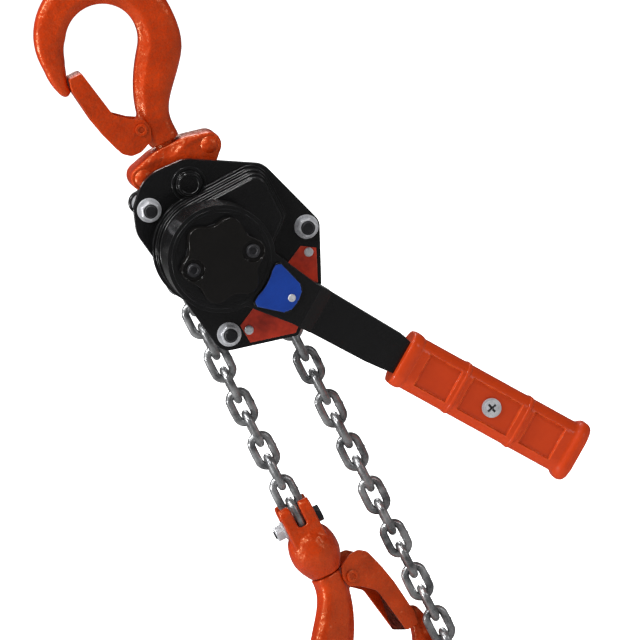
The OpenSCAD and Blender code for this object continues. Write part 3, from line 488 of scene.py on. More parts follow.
def crown_front(inset: float, rise: float) -> None:
    """Insets the faces that look to -Y and moves them, so that their rim becomes a slope.

    Args:
        inset: width of the slope, in millimetres.
        rise: how far they come forward, in millimetres.
    """
    pick(Element.FACE, facing(0, -1, 0))
    bpy.ops.mesh.inset(thickness=inset * MM)
    bpy.ops.transform.translate(value=(0, -rise * MM, 0))


# ---- Finishes ----


# What settles on a finish, and how sharp its clear coat mirrors
DUST_COLOUR = (122, 116, 108)
COAT_ROUGHNESS = 0.12


def linear(red: float, green: float, blue: float) -> tuple[float, float, float, float]:
    """Turns a colour on the usual 0 to 255 scale into linear light.

    Args:
        red: red part.
        green: green part.
        blue: blue part.

    Returns:
        The colour with a full alpha.
    """
    parts = [v / 255 for v in (red, green, blue)]
    light = [v / 12.92 if v <= 0.04045 else ((v + 0.055) / 1.055) ** 2.4 for v in parts]
    return (light[0], light[1], light[2], 1.0)


class Wiring:
    """A shader node tree being wired up."""

    def __init__(self, tree: NodeTree) -> None:
        """Takes up the tree."""
        self.tree = tree

    def link(self, source: Socket, target: Socket) -> None:
        """Joins an output to an input."""
        self.tree.links.new(source, target)

    def feed(self, target: Socket, value: object) -> None:
        """Gives an input its value.

        Args:
            target: the input.
            value: an output to join to it, or a plain value.
        """
        if isinstance(value, Socket):
            self.link(value, target)
        else:
            target.default_value = value

    def node(self, kind: str, inputs: dict[str | int, object] | None = None, **settings: object
             ) -> bpy.types.Node:
        """Adds a node.

        Args:
            kind: its type.
            inputs: what feeds its inputs, by name or place.
            **settings: its properties.

        Returns:
            The node.
        """
        made = self.tree.nodes.new(kind)
        for key, value in settings.items():
            setattr(made, key, value)
        for label, value in (inputs or {}).items():
            self.feed(made.inputs[label], value)
        return made

    def maths(self, operation: str, first: object, second: object) -> Socket:
        """Adds a Math node.

        Args:
            operation: its operation.
            first: a socket or a number.
            second: a socket or a number.

        Returns:
            Its output.
        """
        return self.node("ShaderNodeMath", {0: first, 1: second}, operation=operation).outputs[0]

    def mixed(self, mask: Socket, under: object, over: object) -> Socket:
        """Lays a colour over another by a mask.

        Args:
            mask: where the second colour shows.
            under: colour or socket under it.
            over: colour or socket over it.

        Returns:
            The mixed colour.
        """
        made = self.node("ShaderNodeMix", data_type="RGBA")
        for place, value in (("Factor", mask), (6, under), (7, over)):
            self.feed(made.inputs[place], value)
        return made.outputs[2]


class EffectGroup(Wiring):
    """A shader node group with a place, named numbers and named results."""

    def __init__(self, name: str, numbers: dict[str, float], results: Sequence[str]) -> None:
        """Makes the empty group.

        Args:
            name: the group's name.
            numbers: its inputs besides the place, with their defaults.
            results: its outputs.
        """
        super().__init__(bpy.data.node_groups.new(name, "ShaderNodeTree"))
        face = self.tree.interface
        face.new_socket("Vector", in_out="INPUT", socket_type="NodeSocketVector")
        for label, default in numbers.items():
            face.new_socket(label, in_out="INPUT", socket_type="NodeSocketFloat").default_value = default
        for label in results:
            face.new_socket(label, in_out="OUTPUT", socket_type="NodeSocketFloat")
        self.given = self.node("NodeGroupInput").outputs
        self.results = self.node("NodeGroupOutput").inputs

    def clamped(self, value: Socket) -> Socket:
        """Keeps a value between 0 and 1."""
        return self.node("ShaderNodeClamp", {"Value": value}).outputs[0]

    def noise(self, scale: Socket, detail: float) -> Socket:
        """Adds a noise over the group's place.

        Args:
            scale: how fine it is.
            detail: how many finer layers it has.

        Returns:
            Its value.
        """
        inputs = {"Detail": detail, "Vector": self.given["Vector"], "Scale": scale}
        return self.node("ShaderNodeTexNoise", inputs).outputs["Fac"]


def mottle_group() -> NodeTree:
    """Builds slow and quick variation in one mask.

    Returns:
        The group.
    """
    group = EffectGroup("Mottle", {"Scale": 40.0, "Contrast": 0.5}, ("Mask", "Fine"))
    slow = group.noise(group.given["Scale"], 5.0)
    quick = group.noise(group.maths("MULTIPLY", group.given["Scale"], 9.0), 3.0)
    most, rest = group.maths("MULTIPLY", slow, 0.7), group.maths("MULTIPLY", quick, 0.3)
    blend = group.maths("SUBTRACT", group.maths("ADD", most, rest), 0.5)
    spread = group.maths("MULTIPLY", blend, group.maths("MULTIPLY", group.given["Contrast"], 4.0))
    group.link(group.clamped(group.maths("ADD", spread, 0.5)), group.results["Mask"])
    group.link(quick, group.results["Fine"])
    return group.tree


def edge_wear_and_highlight_group() -> NodeTree:
    """Builds a mask of the edges where a coating is rubbed thin, which also paints highlights along
    them.

    Returns:
        The group.
    """
    numbers = {"Width": 0.0008, "Break up": 150.0, "Amount": 0.5}
    group = EffectGroup("Edge wear", numbers, ("Mask",))
    rounded = group.node("ShaderNodeBevel", {"Radius": group.given["Width"]}, samples=4)
    flat = group.node("ShaderNodeNewGeometry")
    turn = group.node("ShaderNodeVectorMath", {0: rounded.outputs[0], 1: flat.outputs["Normal"]},
                      operation="DOT_PRODUCT")
    edge = group.maths("MULTIPLY", group.maths("SUBTRACT", 1.0, turn.outputs["Value"]), 9.0)
    noise = group.noise(group.given["Break up"], 4.0)
    patchy = group.maths("MULTIPLY", group.maths("SUBTRACT", noise, 0.38), 4.0)
    both = group.maths("MULTIPLY", group.clamped(edge), group.clamped(patchy))
    group.link(group.maths("MULTIPLY", both, group.given["Amount"]), group.results["Mask"])
    return group.tree


def texture_group() -> NodeTree:
    """Builds a height for a bump: fine pits over a slow waviness.

    Returns:
        The group.
    """
    numbers = {"Pits": 900.0, "Waves": 90.0, "Share of waves": 0.5}
    group = EffectGroup("Skin texture", numbers, ("Height",))
    pits = group.node("ShaderNodeTexVoronoi",
                      {"Vector": group.given["Vector"], "Scale": group.given["Pits"]},
                      feature="SMOOTH_F1")
    mix = group.node("ShaderNodeMix", {
        "Factor": group.given["Share of waves"],
        "A": pits.outputs["Distance"],
        "B": group.noise(group.given["Waves"], 2.0),
    })
    group.link(mix.outputs["Result"], group.results["Height"])
    return group.tree


def dust_group() -> NodeTree:
    """Builds a mask of the dust and grease that lie on what looks up.

    Returns:
        The group.
    """
    group = EffectGroup("Settled dust", {"Scale": 60.0, "Amount": 0.2}, ("Mask",))
    surface = group.node("ShaderNodeNewGeometry")
    split = group.node("ShaderNodeSeparateXYZ", {0: surface.outputs["Normal"]})
    upward = group.node("ShaderNodeMapRange",
                        {"From Min": 0.1, "From Max": 0.95, "Value": split.outputs["Z"]})
    noise = group.noise(group.given["Scale"], 6.0)
    both = group.maths("MULTIPLY", upward.outputs["Result"], noise)
    group.link(group.maths("MULTIPLY", both, group.given["Amount"]), group.results["Mask"])
    return group.tree


@dataclass(frozen=True)
class Finish:
    """One finish, from its colour down to its texture.

    Colours are on the usual 0 to 255 scale, edge_wear_and_highlight_width and bump_depth are in millimetres, and
    mottle, pits and waves say how fine their patterns are.
    """

    slot: str
    colour: tuple[float, float, float]
    second: tuple[float, float, float]
    rough: tuple[float, float]
    metal: float = 0.0
    # Colour along sharp edges: rubbed coating, and a painted highlight on those edges
    worn_and_highlit: tuple[float, float, float] = (150, 150, 150)
    edge_wear_and_highlight: float = 0.0
    edge_wear_and_highlight_width: float = 0.8
    mottle: float = 35.0
    contrast: float = 0.5
    pits: float = 900.0
    waves: float = 90.0
    wave_share: float = 0.5
    bump: float = 0.1
    bump_depth: float = 0.2
    dust: float = 0.1
    coat: float = 0.0
    specular: float = 0.5
    tint: tuple[float, float, float] = (255, 255, 255)

    def made(self, groups: dict[str, NodeTree]) -> bpy.types.Material:
        """Builds the finish as a material.

        Args:
            groups: the shared effects by name.

        Returns:
            The material.
        """
        material = bpy.data.materials.new(self.slot)
        material.use_nodes = True
        material.diffuse_color = linear(*self.colour)
        wiring = Wiring(material.node_tree)
        shader = material.node_tree.nodes["Principled BSDF"]
        place = wiring.node("ShaderNodeTexCoord").outputs["Object"]

        def effect(name: str, **numbers: float) -> bpy.types.Node:
            """Places a shared effect.

            Args:
                name: the effect.
                **numbers: its inputs, with a low line for each space in their names.

            Returns:
                Its node.
            """
            inputs = {key.replace("_", " "): value for key, value in numbers.items()}
            return wiring.node("ShaderNodeGroup", {"Vector": place, **inputs}, node_tree=groups[name])

        mottle = effect("Mottle", Scale=self.mottle, Contrast=self.contrast)
        edge_wear_and_highlight = effect("Edge wear", Width=self.edge_wear_and_highlight_width * MM, Amount=self.edge_wear_and_highlight)
        dust = effect("Settled dust", Amount=self.dust)
        texture = effect("Skin texture", Pits=self.pits, Waves=self.waves,
                         Share_of_waves=self.wave_share)
        colour = linear(*self.colour)
        # The edge colour is rubbed coating and also a painted highlight along the edges
        for mask, over in ((mottle, self.second), (dust, DUST_COLOUR), (edge_wear_and_highlight, self.worn_and_highlit)):
            colour = wiring.mixed(mask.outputs["Mask"], colour, linear(*over))
        smooth, coarse = self.rough
        roughness = wiring.node("ShaderNodeMapRange", {
            "From Min": 0.25, "From Max": 0.75, "To Min": smooth, "To Max": coarse,
            "Value": mottle.outputs["Fine"],
        })
        bump = wiring.node("ShaderNodeBump", {
            "Strength": self.bump, "Distance": self.bump_depth * MM, "Height": texture.outputs["Height"],
        })
        for label, value in {
            "Base Color": colour,
            "Roughness": roughness.outputs["Result"],
            "Metallic": self.metal,
            "Specular IOR Level": self.specular,
            "Specular Tint": linear(*self.tint),
            "Coat Weight": self.coat,
            "Coat Roughness": COAT_ROUGHNESS,
            "Normal": bump.outputs["Normal"],
            "Coat Normal": bump.outputs["Normal"],
        }.items():
            wiring.feed(shader.inputs[label], value)
        return material


FINISHES = (
    # The orange's light edge colour is a painted highlight as well as rubbed paint
    Finish("orange_paint", (176, 48, 5), (138, 32, 4), (0.26, 0.38),
           worn_and_highlit=(216, 92, 34), edge_wear_and_highlight=0.4, mottle=60, contrast=0.6, waves=230, wave_share=0.97, bump=0.8,
           bump_depth=1.0, dust=0.0, coat=0.1, specular=0.9, tint=(255, 186, 124)),
    Finish("black_paint", (10, 10, 11), (14, 14, 15), (0.36, 0.5),
           worn_and_highlit=(60, 60, 62), edge_wear_and_highlight=0.3, mottle=24, waves=60, wave_share=0.4, bump=0.14,
           bump_depth=0.4, dust=0.01, coat=0.8, specular=0.08),
    Finish("black_plastic", (10, 9, 8), (14, 12, 11), (0.4, 0.55),
           worn_and_highlit=(52, 48, 45), edge_wear_and_highlight=0.25, mottle=60, pits=1300, wave_share=0.2, bump=0.14,
           bump_depth=0.3, dust=0.01, coat=0.8, specular=0.06),
    Finish("chain_steel", (186, 187, 188), (104, 105, 107), (0.24, 0.42), metal=0.85,
           worn_and_highlit=(235, 235, 235), edge_wear_and_highlight=0.4, mottle=120, contrast=1.0, pits=1500, waves=260,
           wave_share=0.7, bump=0.5, bump_depth=0.5, dust=0.0),
    Finish("zinc", (206, 207, 210), (158, 159, 164), (0.22, 0.4), metal=0.4,
           worn_and_highlit=(250, 250, 250), edge_wear_and_highlight=0.25, mottle=160, contrast=0.6, pits=1500, bump=0.12,
           bump_depth=0.25, dust=0.0),
    Finish("dark_steel", (60, 60, 63), (42, 42, 45), (0.3, 0.5), metal=0.7,
           worn_and_highlit=(130, 130, 132), edge_wear_and_highlight=0.4, mottle=90, contrast=0.7, pits=1300, bump=0.18,
           bump_depth=0.25, dust=0.02),
    Finish("bronze", (178, 136, 76), (150, 110, 60), (0.28, 0.5), metal=0.9,
           worn_and_highlit=(214, 180, 120), edge_wear_and_highlight=0.4, mottle=110, bump=0.12, dust=0.03),
    Finish("lining", (98, 76, 58), (72, 57, 45), (0.75, 0.95), mottle=420,
           contrast=0.9, pits=1800, bump=0.4, bump_depth=0.3),
    Finish("grip", (178, 54, 7), (160, 44, 5), (0.42, 0.56),
           worn_and_highlit=(240, 112, 48), edge_wear_and_highlight=0.4, edge_wear_and_highlight_width=1.2, mottle=36, contrast=0.3, pits=1500,
           waves=120, wave_share=0.25, bump=0.25, bump_depth=0.2, dust=0.0, coat=0.2, specular=0.12),
    Finish("blue_plate", (14, 56, 142), (10, 42, 114), (0.3, 0.44),
           worn_and_highlit=(96, 118, 176), edge_wear_and_highlight=0.5, edge_wear_and_highlight_width=0.8, mottle=60, contrast=0.4, bump=0.06,
           dust=0.0, coat=0.4, specular=0.12),
    Finish("red_plate", (178, 48, 26), (116, 28, 16), (0.34, 0.5),
           worn_and_highlit=(206, 116, 90), edge_wear_and_highlight=0.4, mottle=34, contrast=0.9, bump=0.08, dust=0.0, coat=0.3,
           specular=0.12),
)


class Paintshop:
    """Holds the finishes and puts them on pieces and construction parts."""

    def __init__(self) -> None:
        """Builds the shared effects and every finish once."""
        groups = {
            "Mottle": mottle_group(),
            "Edge wear": edge_wear_and_highlight_group(),
            "Skin texture": texture_group(),
            "Settled dust": dust_group(),
        }
        self.materials = {finish.slot: finish.made(groups) for finish in FINISHES}

    def coat(self, piece: Piece, slot: str) -> None:
        """Gives a new piece its only material.

        Args:
            piece: the piece.
            slot: name of the finish.
        """
        piece.data.materials.clear()
        piece.data.materials.append(self.materials[slot])

    def coat_nodes(self, slot: str, names: Sequence[str]) -> None:
        """Gives construction parts a finish.

        Args:
            slot: name of the finish.
            names: the parts.
        """
        for name in names:
            for material_slot in frame["nodes"][name].material_slots:
                material_slot.material = self.materials[slot]


def hang(piece: Piece, shop: Paintshop, slot: str, body: str, *nodes: str) -> Piece:
    """Finishes a piece: its coat, the body it moves with and the parts it stands for.

    Args:
        piece: the piece.
        shop: the finishes.
        slot: name of its finish.
        body: name of its body.
        *nodes: construction parts that it replaces.

    Returns:
        The same piece.
    """
    shop.coat(piece, slot)
    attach(piece, body)
    if nodes:
        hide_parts(*nodes)
    log.info("%s: %d faces, on %s", piece.name, len(piece.data.polygons), body)
    return piece


def dressed(node: str, name: str, shop: Paintshop, slot: str, body: str, width: float,
            segments: int = 2, angle: float = 30, shade: float = 35) -> None:
    """Rounds the edges of a construction part's copy and hangs it in the part's place.

    Args:
        node: name of the construction part.
        name: name of the piece.
        shop: the finishes.
        slot: name of its finish.
        body: name of its body.
        width: width of the rounding in millimetres.
        segments: how many facets round an edge.
        angle: edges sharper than this, in degrees, are rounded.
        shade: edges sharper than this stay sharp.
    """
    piece = eased(casting_of(node, name), width, segments, angle)
    hang(smoothed(piece, shade), shop, slot, body, node)


# ---- Chains ----


@dataclass
class Chains:
    """Load chain, slack chain, the links round the wheel, and the stop ring."""

    wire: float = 6.0
    pitch: float = 18.0
    inner_width: float = 7.8
    play: float = 0.3
    first_load_drop: float = 11.3
    load_links: int = 12
    slack_links: int = 20
    pockets: int = 5
    flat_radius: float = 22.57
    stand_radius: float = 24.8
    ring_radius: float = 13.0
    weld_reach: float = 1.2
    weld_swell: float = 1.12
    seam: float = 0.6
    pattern: Piece | None = field(default=None, repr=False)

    def link_pattern(self) -> Piece:
        """Bends one link: a ring pulled long, with the butt weld on one side.

        Returns:
            The link, flat in XZ and long along Z.
        """
        bend = self.inner_width / 2 + self.wire / 2
        straight = self.pitch + self.play - self.inner_width
        link = block_out(
            "link",
            bpy.ops.mesh.primitive_torus_add,
            major_segments=28,
            minor_segments=12,
            major_radius=bend * MM,
            minor_radius=self.wire / 2 * MM,
            rotation=(math.pi / 2, 0, 0),
        )
        with shaping(link):
            for side in (-1, 1):
                pick(Element.VERT, lambda v: v.co.z * side > 0.00005)
                bpy.ops.transform.translate(value=(0, 0, side * straight / 2 * MM))
            for height in (-self.weld_reach, 0.0, self.weld_reach):
                pick_all()
                bpy.ops.mesh.bisect(plane_co=(0, 0, height * MM), plane_no=(0, 0, 1))
            pick(Element.VERT, lambda v: v.co.x > 0 and abs(v.co.z) < self.weld_reach / 3 * MM)
            swell = (self.weld_swell, self.weld_swell, 1)
            bpy.ops.transform.resize(value=swell, center_override=(bend * MM, 0, 0))
        return smoothed(link, 60)

    def row(self, name: str, x: float, first_drop: float, count: int) -> Piece:
        """Hangs a row of links, every second one turned.

        Args:
            name: name of the row.
            x: where it hangs, in millimetres.
            first_drop: drop of the first link's centre, in millimetres.
            count: number of links.

        Returns:
            The row.
        """
        links = []
        for index in range(count):
            turn = turned_by(90 * (index % 2), "Z")
            drop = moved_by(x, 0, -first_drop - index * self.pitch)
            links.append(another(self.pattern, f"{name}_link", HUB_FRAME @ drop @ turn))
        return joined(name, links)

    def wheel_row(self) -> Piece:
        """Lays the links round the pocket wheel, flat and standing by turns.

        Returns:
            The row.
        """
        links = []
        step = 180 / self.pockets
        phase = 180 + self.first_load_drop / self.pitch * step
        for index in range(1, self.pockets + 1):
            flat = index % 2 == 1
            turn = turned_by(-(phase - index * step), "Y")
            out = moved_by(self.flat_radius if flat else self.stand_radius, 0, 0)
            roll = turned_by(90 if flat else 0, "Z")
            links.append(another(self.pattern, "wheel_link", HUB_FRAME @ turn @ out @ roll))
        return joined("wheel_links", links)

    def stop_ring(self) -> Piece:
        """Bends the stop ring, with its seam filed flat.

        Returns:
            The ring.
        """
        low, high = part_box("chain_stop")
        centre = (Vector(low) + Vector(high)) / 2
        ring = block_out(
            "stop_ring",
            bpy.ops.mesh.primitive_torus_add,
            major_segments=56,
            minor_segments=14,
            major_radius=self.ring_radius * MM,
            minor_radius=self.wire / 2 * MM,
            location=centre,
            rotation=(math.pi / 2, 0, 0),
        )
        with shaping(ring):
            pick(Element.VERT, lambda v: v.co.z < centre.z - (self.ring_radius - self.seam) * MM)
            bpy.ops.transform.resize(value=(1, 0.95, 1), center_override=centre)
        return smoothed(ring, 60)

    def build(self, shop: Paintshop) -> None:
        """Makes and dresses the chains.

        Args:
            shop: the finishes.
        """
        self.pattern = self.link_pattern()
        load = self.row("load_links", -FALL_X, self.first_load_drop, self.load_links)
        slack = self.row("slack_links", FALL_X, self.pitch - self.first_load_drop, self.slack_links)
        hang(load, shop, "chain_steel", "load_fall", "load_chain")
        hang(slack, shop, "chain_steel", "slack_fall", "slack_chain")
        hang(self.wheel_row(), shop, "chain_steel", "wheel", "wrapped_links")
        hang(self.stop_ring(), shop, "zinc", "slack_fall", "chain_stop")
        bpy.data.objects.remove(self.pattern)
        self.pattern = None


# ---- Hooks ----


def between(stations: Sequence[tuple[float, float]], at: float) -> float:
    """Reads a value between stations.

    Args:
        stations: place and value of each, in order.
        at: the place asked for.

    Returns:
        The value there.
    """
    if at <= stations[0][0]:
        return stations[0][1]
    for (low, first), (high, second) in zip(stations, stations[1:]):
        if at <= high:
            return first + (second - first) * (at - low) / (high - low)
    return stations[-1][1]


@dataclass
class ForgedHook:
    """A swivel hook with its sprung latch.

    The bar's section is drawn first as a square of 2 mm, so outer_rounding and inner_flat are shares
    of its half width. neck_pulls say how strongly the neck's curve keeps to the shank and the heel.
    """

    name: str
    where: Matrix
    bare: float
    bowl_radius: float = 26.5
    bowl_rise: float = 88.5
    bowl_offset: float = 8.0
    heel_width: float = 32.0
    crown_width: float = 27.0
    arm_width: float = 17.0
    thickness: float = 18.0
    heel_angle: float = -38.0
    tip_angle: float = 207.0
    bowl_step: float = 6.1
    seat_width: float = 22.4
    seat_thicker: float = 3.0
    neck_start: float = 12.0
    neck_pulls: tuple[float, float] = (20.0, 22.0)
    neck_width: float = 22.0
    neck_thicker: float = 2.0
    outer_rounding: float = 0.62
    inner_flat: float = 0.5
    collar_top: float = -14.5
    collar_depth: float = 5.6
    collar_radius: float = 12.0
    shank_radius: float = 8.0
    ear_from_bowl: tuple[float, float] = (-4.3, -69.6)
    ear_half: float = 4.5
    rivet_radius: float = 2.5
    rivet_reach: float = 11.5
    head_radius: float = 4.4
    head_depth: float = 1.9

    @property
    def ear_at(self) -> tuple[float, float]:
        """Gives X and Z of the latch's rivet in the hook's own frame."""
        return -self.bowl_offset + self.ear_from_bowl[0], self.bowl_rise + self.ear_from_bowl[1]

    def bowl_station(self, angle: float, share: float = 1.0) -> tuple[Vector, float, float, float]:
        """Gives the bar's centre, turn, width and thickness round the bowl.

        Args:
            angle: angle round the bowl in degrees.
            share: how much of its full size it has.

        Returns:
            Centre in X and Z, turn, width and thickness.
        """
        low, tip = self.heel_angle, self.tip_angle
        arm, root = self.arm_width, self.crown_width + 1.5
        opening = between([(low, 0.0), (150, 0.0), (180, 3.5), (195, 8.0), (tip, 14.5)], angle)
        inner = self.bowl_radius + opening
        if angle < 0:
            swell = (1 + math.cos(math.pi * (1 - angle / low))) / 2
            width = root + (self.heel_width - root) * swell
        else:
            width = between([(0, root), (90, self.crown_width), (150, arm + 6), (180, arm),
                             (195, arm - 3), (tip, arm / 2)], angle)
        depth = self.thickness - between([(low, 0.0), (90, 0.0), (180, 4.0), (tip, 7.0)], angle)
        reach = inner + width / 2
        turn = math.radians(angle)
        x, z = reach * math.cos(turn) - self.bowl_offset, reach * math.sin(turn) + self.bowl_rise
        return Vector((x, z)), angle, width * share, depth * share

    def neck_station(self, share: float) -> tuple[Vector, float, float, float]:
        """Gives the same along the neck, from the shank at 0 to the heel at 1.

        Args:
            share: how far along the neck.

        Returns:
            Centre in X and Z, turn, width and thickness.
        """
        heel, _, _, _ = self.bowl_station(self.heel_angle)
        turn = math.radians(self.heel_angle)
        along = Vector((-math.sin(turn), math.cos(turn)))
        up_pull, heel_pull = self.neck_pulls
        foot = Vector((0, self.neck_start))
        path = [foot, Vector((0, self.neck_start + up_pull)), heel - heel_pull * along, heel]

        def point(t: float) -> Vector:
            """Gives a point of the neck's curve.

            Args:
                t: how far along, from 0 to 1.

            Returns:
                Its X and Z.
            """
            u = 1 - t
            first_half = path[0] * u**3 + path[1] * 3 * t * u * u
            return first_half + path[2] * 3 * t * t * u + path[3] * t**3

        way = point(min(share + 0.01, 1)) - point(max(share - 0.01, 0))
        angle = math.degrees(math.atan2(-way.x, way.y))
        swell = (1 - math.cos(math.pi * share)) / 2
        width = self.neck_width + (self.heel_width - self.neck_width) * swell
        return point(share), angle, width, self.thickness + self.neck_thicker * (1 - share)

    def stations(self) -> list[tuple[Vector, float, float, float]]:
        """Lists the bar's stations from the seat to the tip.

        Returns:
            Centre, turn, width and thickness of each.
        """
        seat = (Vector((0, self.bare)), 0.0, self.seat_width, self.thickness + self.seat_thicker)
        rows = [seat]
        rows += [self.neck_station(step / 10) for step in range(10)]
        angle = self.heel_angle
        while angle < self.tip_angle - 3:
            rows.append(self.bowl_station(angle))
            angle += self.bowl_step
        for past, share in ((0.0, 1.0), (3.4, 0.84), (5.4, 0.5)):
            rows.append(self.bowl_station(self.tip_angle + past, share))
        return rows

    def bar(self) -> Piece:
        """Draws the bar out station by station, from its faced section.

        Returns:
            The bar in the hook's own frame.
        """
        piece = block_out(f"{self.name}_bar", bpy.ops.mesh.primitive_plane_add, size=2 * MM)
        rows = self.stations()
        centre, turn, width, depth = rows[0]
        with shaping(piece):
            # The section's outer corners are well rounded, its inner ones cut to a long flat
            pick(Element.VERT, lambda v: v.co.x > 0)
            bpy.ops.mesh.bevel(affect="VERTICES", offset=self.outer_rounding * MM, segments=4)
            pick(Element.VERT, lambda v: v.co.x < -0.9 * MM)
            bpy.ops.mesh.bevel(affect="VERTICES", offset=self.inner_flat * MM, segments=1)
            bpy.ops.mesh.select_mode(type="FACE")
            pick_all()
            bpy.ops.transform.resize(value=(width / 2, depth / 2, 1), center_override=(0, 0, 0))
            bpy.ops.transform.translate(value=Vector((centre.x, 0, centre.y)) * MM)
            for new_centre, new_turn, new_width, new_depth in rows[1:]:
                move = Vector((new_centre.x - centre.x, 0, new_centre.y - centre.y)) * MM
                at = Vector((new_centre.x, 0, new_centre.y)) * MM
                size = (new_width / width, new_depth / depth, 1)
                about = {"orient_axis": "Y", "center_override": at}
                bpy.ops.mesh.extrude_region_move(TRANSFORM_OT_translate={"value": move})
                bpy.ops.transform.rotate(value=math.radians(-turn), **about)
                bpy.ops.transform.resize(value=size, center_override=at)
                bpy.ops.transform.rotate(value=math.radians(new_turn), **about)
                centre, turn, width, depth = new_centre, new_turn, new_width, new_depth
        eased(piece, 1.3, 3, 24)
        return smoothed(piece, 50)

    def shank(self) -> Piece:
        """Turns the shank with the collar that hangs in the yoke.

        Returns:
            The shank in the hook's own frame.
        """
        foot = self.collar_top - self.collar_depth
        piece = block_out(
            f"{self.name}_shank",
            bpy.ops.mesh.primitive_cylinder_add,
            vertices=48,
            radius=self.collar_radius * MM,
            depth=self.collar_depth * MM,
            location=(0, 0, (foot + self.collar_depth / 2) * MM),
        )
        rise = self.bare + 3 - self.collar_top
        with shaping(piece):
            pick(Element.FACE, facing(0, 0, 1))
            bpy.ops.mesh.inset(thickness=(self.collar_radius - self.shank_radius) * MM)
            bpy.ops.mesh.extrude_region_move(TRANSFORM_OT_translate={"value": (0, 0, rise * MM)})
        eased(piece, 0.8, 2)
        return smoothed(piece)

    def ear(self) -> Piece:
        """Forges the ear that carries the latch's pin.

        Returns:
            The ear in the hook's own frame.
        """
        x, z = self.ear_at
        discs = [((x, z), 6.5), ((x + 8, z - 4), 6.0), ((x + 9, z + 7), 5.0)]
        piece = wrapped(f"{self.name}_ear", discs, -self.ear_half, self.ear_half)
        eased(piece, 1.2, 3)
        return smoothed(piece)

    def latch(self) -> Piece:
        """Presses the latch, with its bends rounded.

        Returns:
            The latch in place.
        """
        latch = casting_of(f"{self.name}_latch", f"{self.name}_latch_pressing")
        pin_way = self.where.to_3x3() @ Vector((0, 1, 0))

        def is_bend(edge: object) -> bool:
            """Says whether an edge is a bend, which runs along the pin."""
            way = (edge.verts[0].co - edge.verts[1].co).normalized()
            return (len(edge.link_faces) == 2 and edge.calc_face_angle() > math.radians(14)
                    and abs(way.dot(pin_way)) > 0.99 and edge.calc_length() > 1.0 * MM)

        with shaping(latch):
            pick(Element.EDGE, is_bend)
            bpy.ops.mesh.bevel(offset=1.6 * MM, segments=3, clamp_overlap=True)
            pick_all()
            bpy.ops.mesh.remove_doubles(threshold=0.02 * MM)
            bpy.ops.mesh.normals_make_consistent(inside=False)
        return smoothed(eased(latch, 0.5, 3, 50))

    def rivet(self) -> Piece:
        """Turns the latch's rivet, with a hollow head at each end.

        Returns:
            The rivet in the hook's own frame.
        """
        x, z = self.ear_at
        heads = []
        for side in (-1, 1):
            head = rod(f"{self.name}_rivet", (0, 0), self.head_radius, -self.head_depth, 0.0, 40)
            with shaping(head):
                step_front(2.0, -1.2)
            place = moved_by(x, side * self.rivet_reach, z) @ turned_by(180 if side > 0 else 0, "Z")
            heads.append(settle(eased(head, 0.45), place))
        half = self.rivet_reach + 0.5
        pin = rod(f"{self.name}_rivet_pin", (x, z), self.rivet_radius, -half, half, 32)
        return smoothed(joined(f"{self.name}_latch_rivet", [*heads, eased(pin, 0.4)]))

    def build(self, shop: Paintshop) -> None:
        """Makes and dresses the hook, its latch and the latch's rivet.

        Args:
            shop: the finishes.
        """
        forging = f"{self.name}_forging"
        bar = relaxed(joined(forging, [self.bar(), self.ear()]), FORGED_GRAIN, 10)
        hook = settle(joined(forging, [smoothed(bar, 60), self.shank()]), self.where)
        hang(hook, shop, "orange_paint", f"{self.name}_hook", f"{self.name}_hook")
        hang(self.latch(), shop, "orange_paint", f"{self.name}_latch", f"{self.name}_latch")
        rivet = settle(self.rivet(), self.where)
        hang(rivet, shop, "orange_paint", self.rivet_body(), f"{self.name}_latch_pin")

    def rivet_body(self) -> str:
        """Names the body that the latch's pin belongs to."""
        for body, members in frame["record"]["behaviour"]["bodies"].items():
            if f"{self.name}_latch_pin" in members:
                return body
        return f"{self.name}_hook"


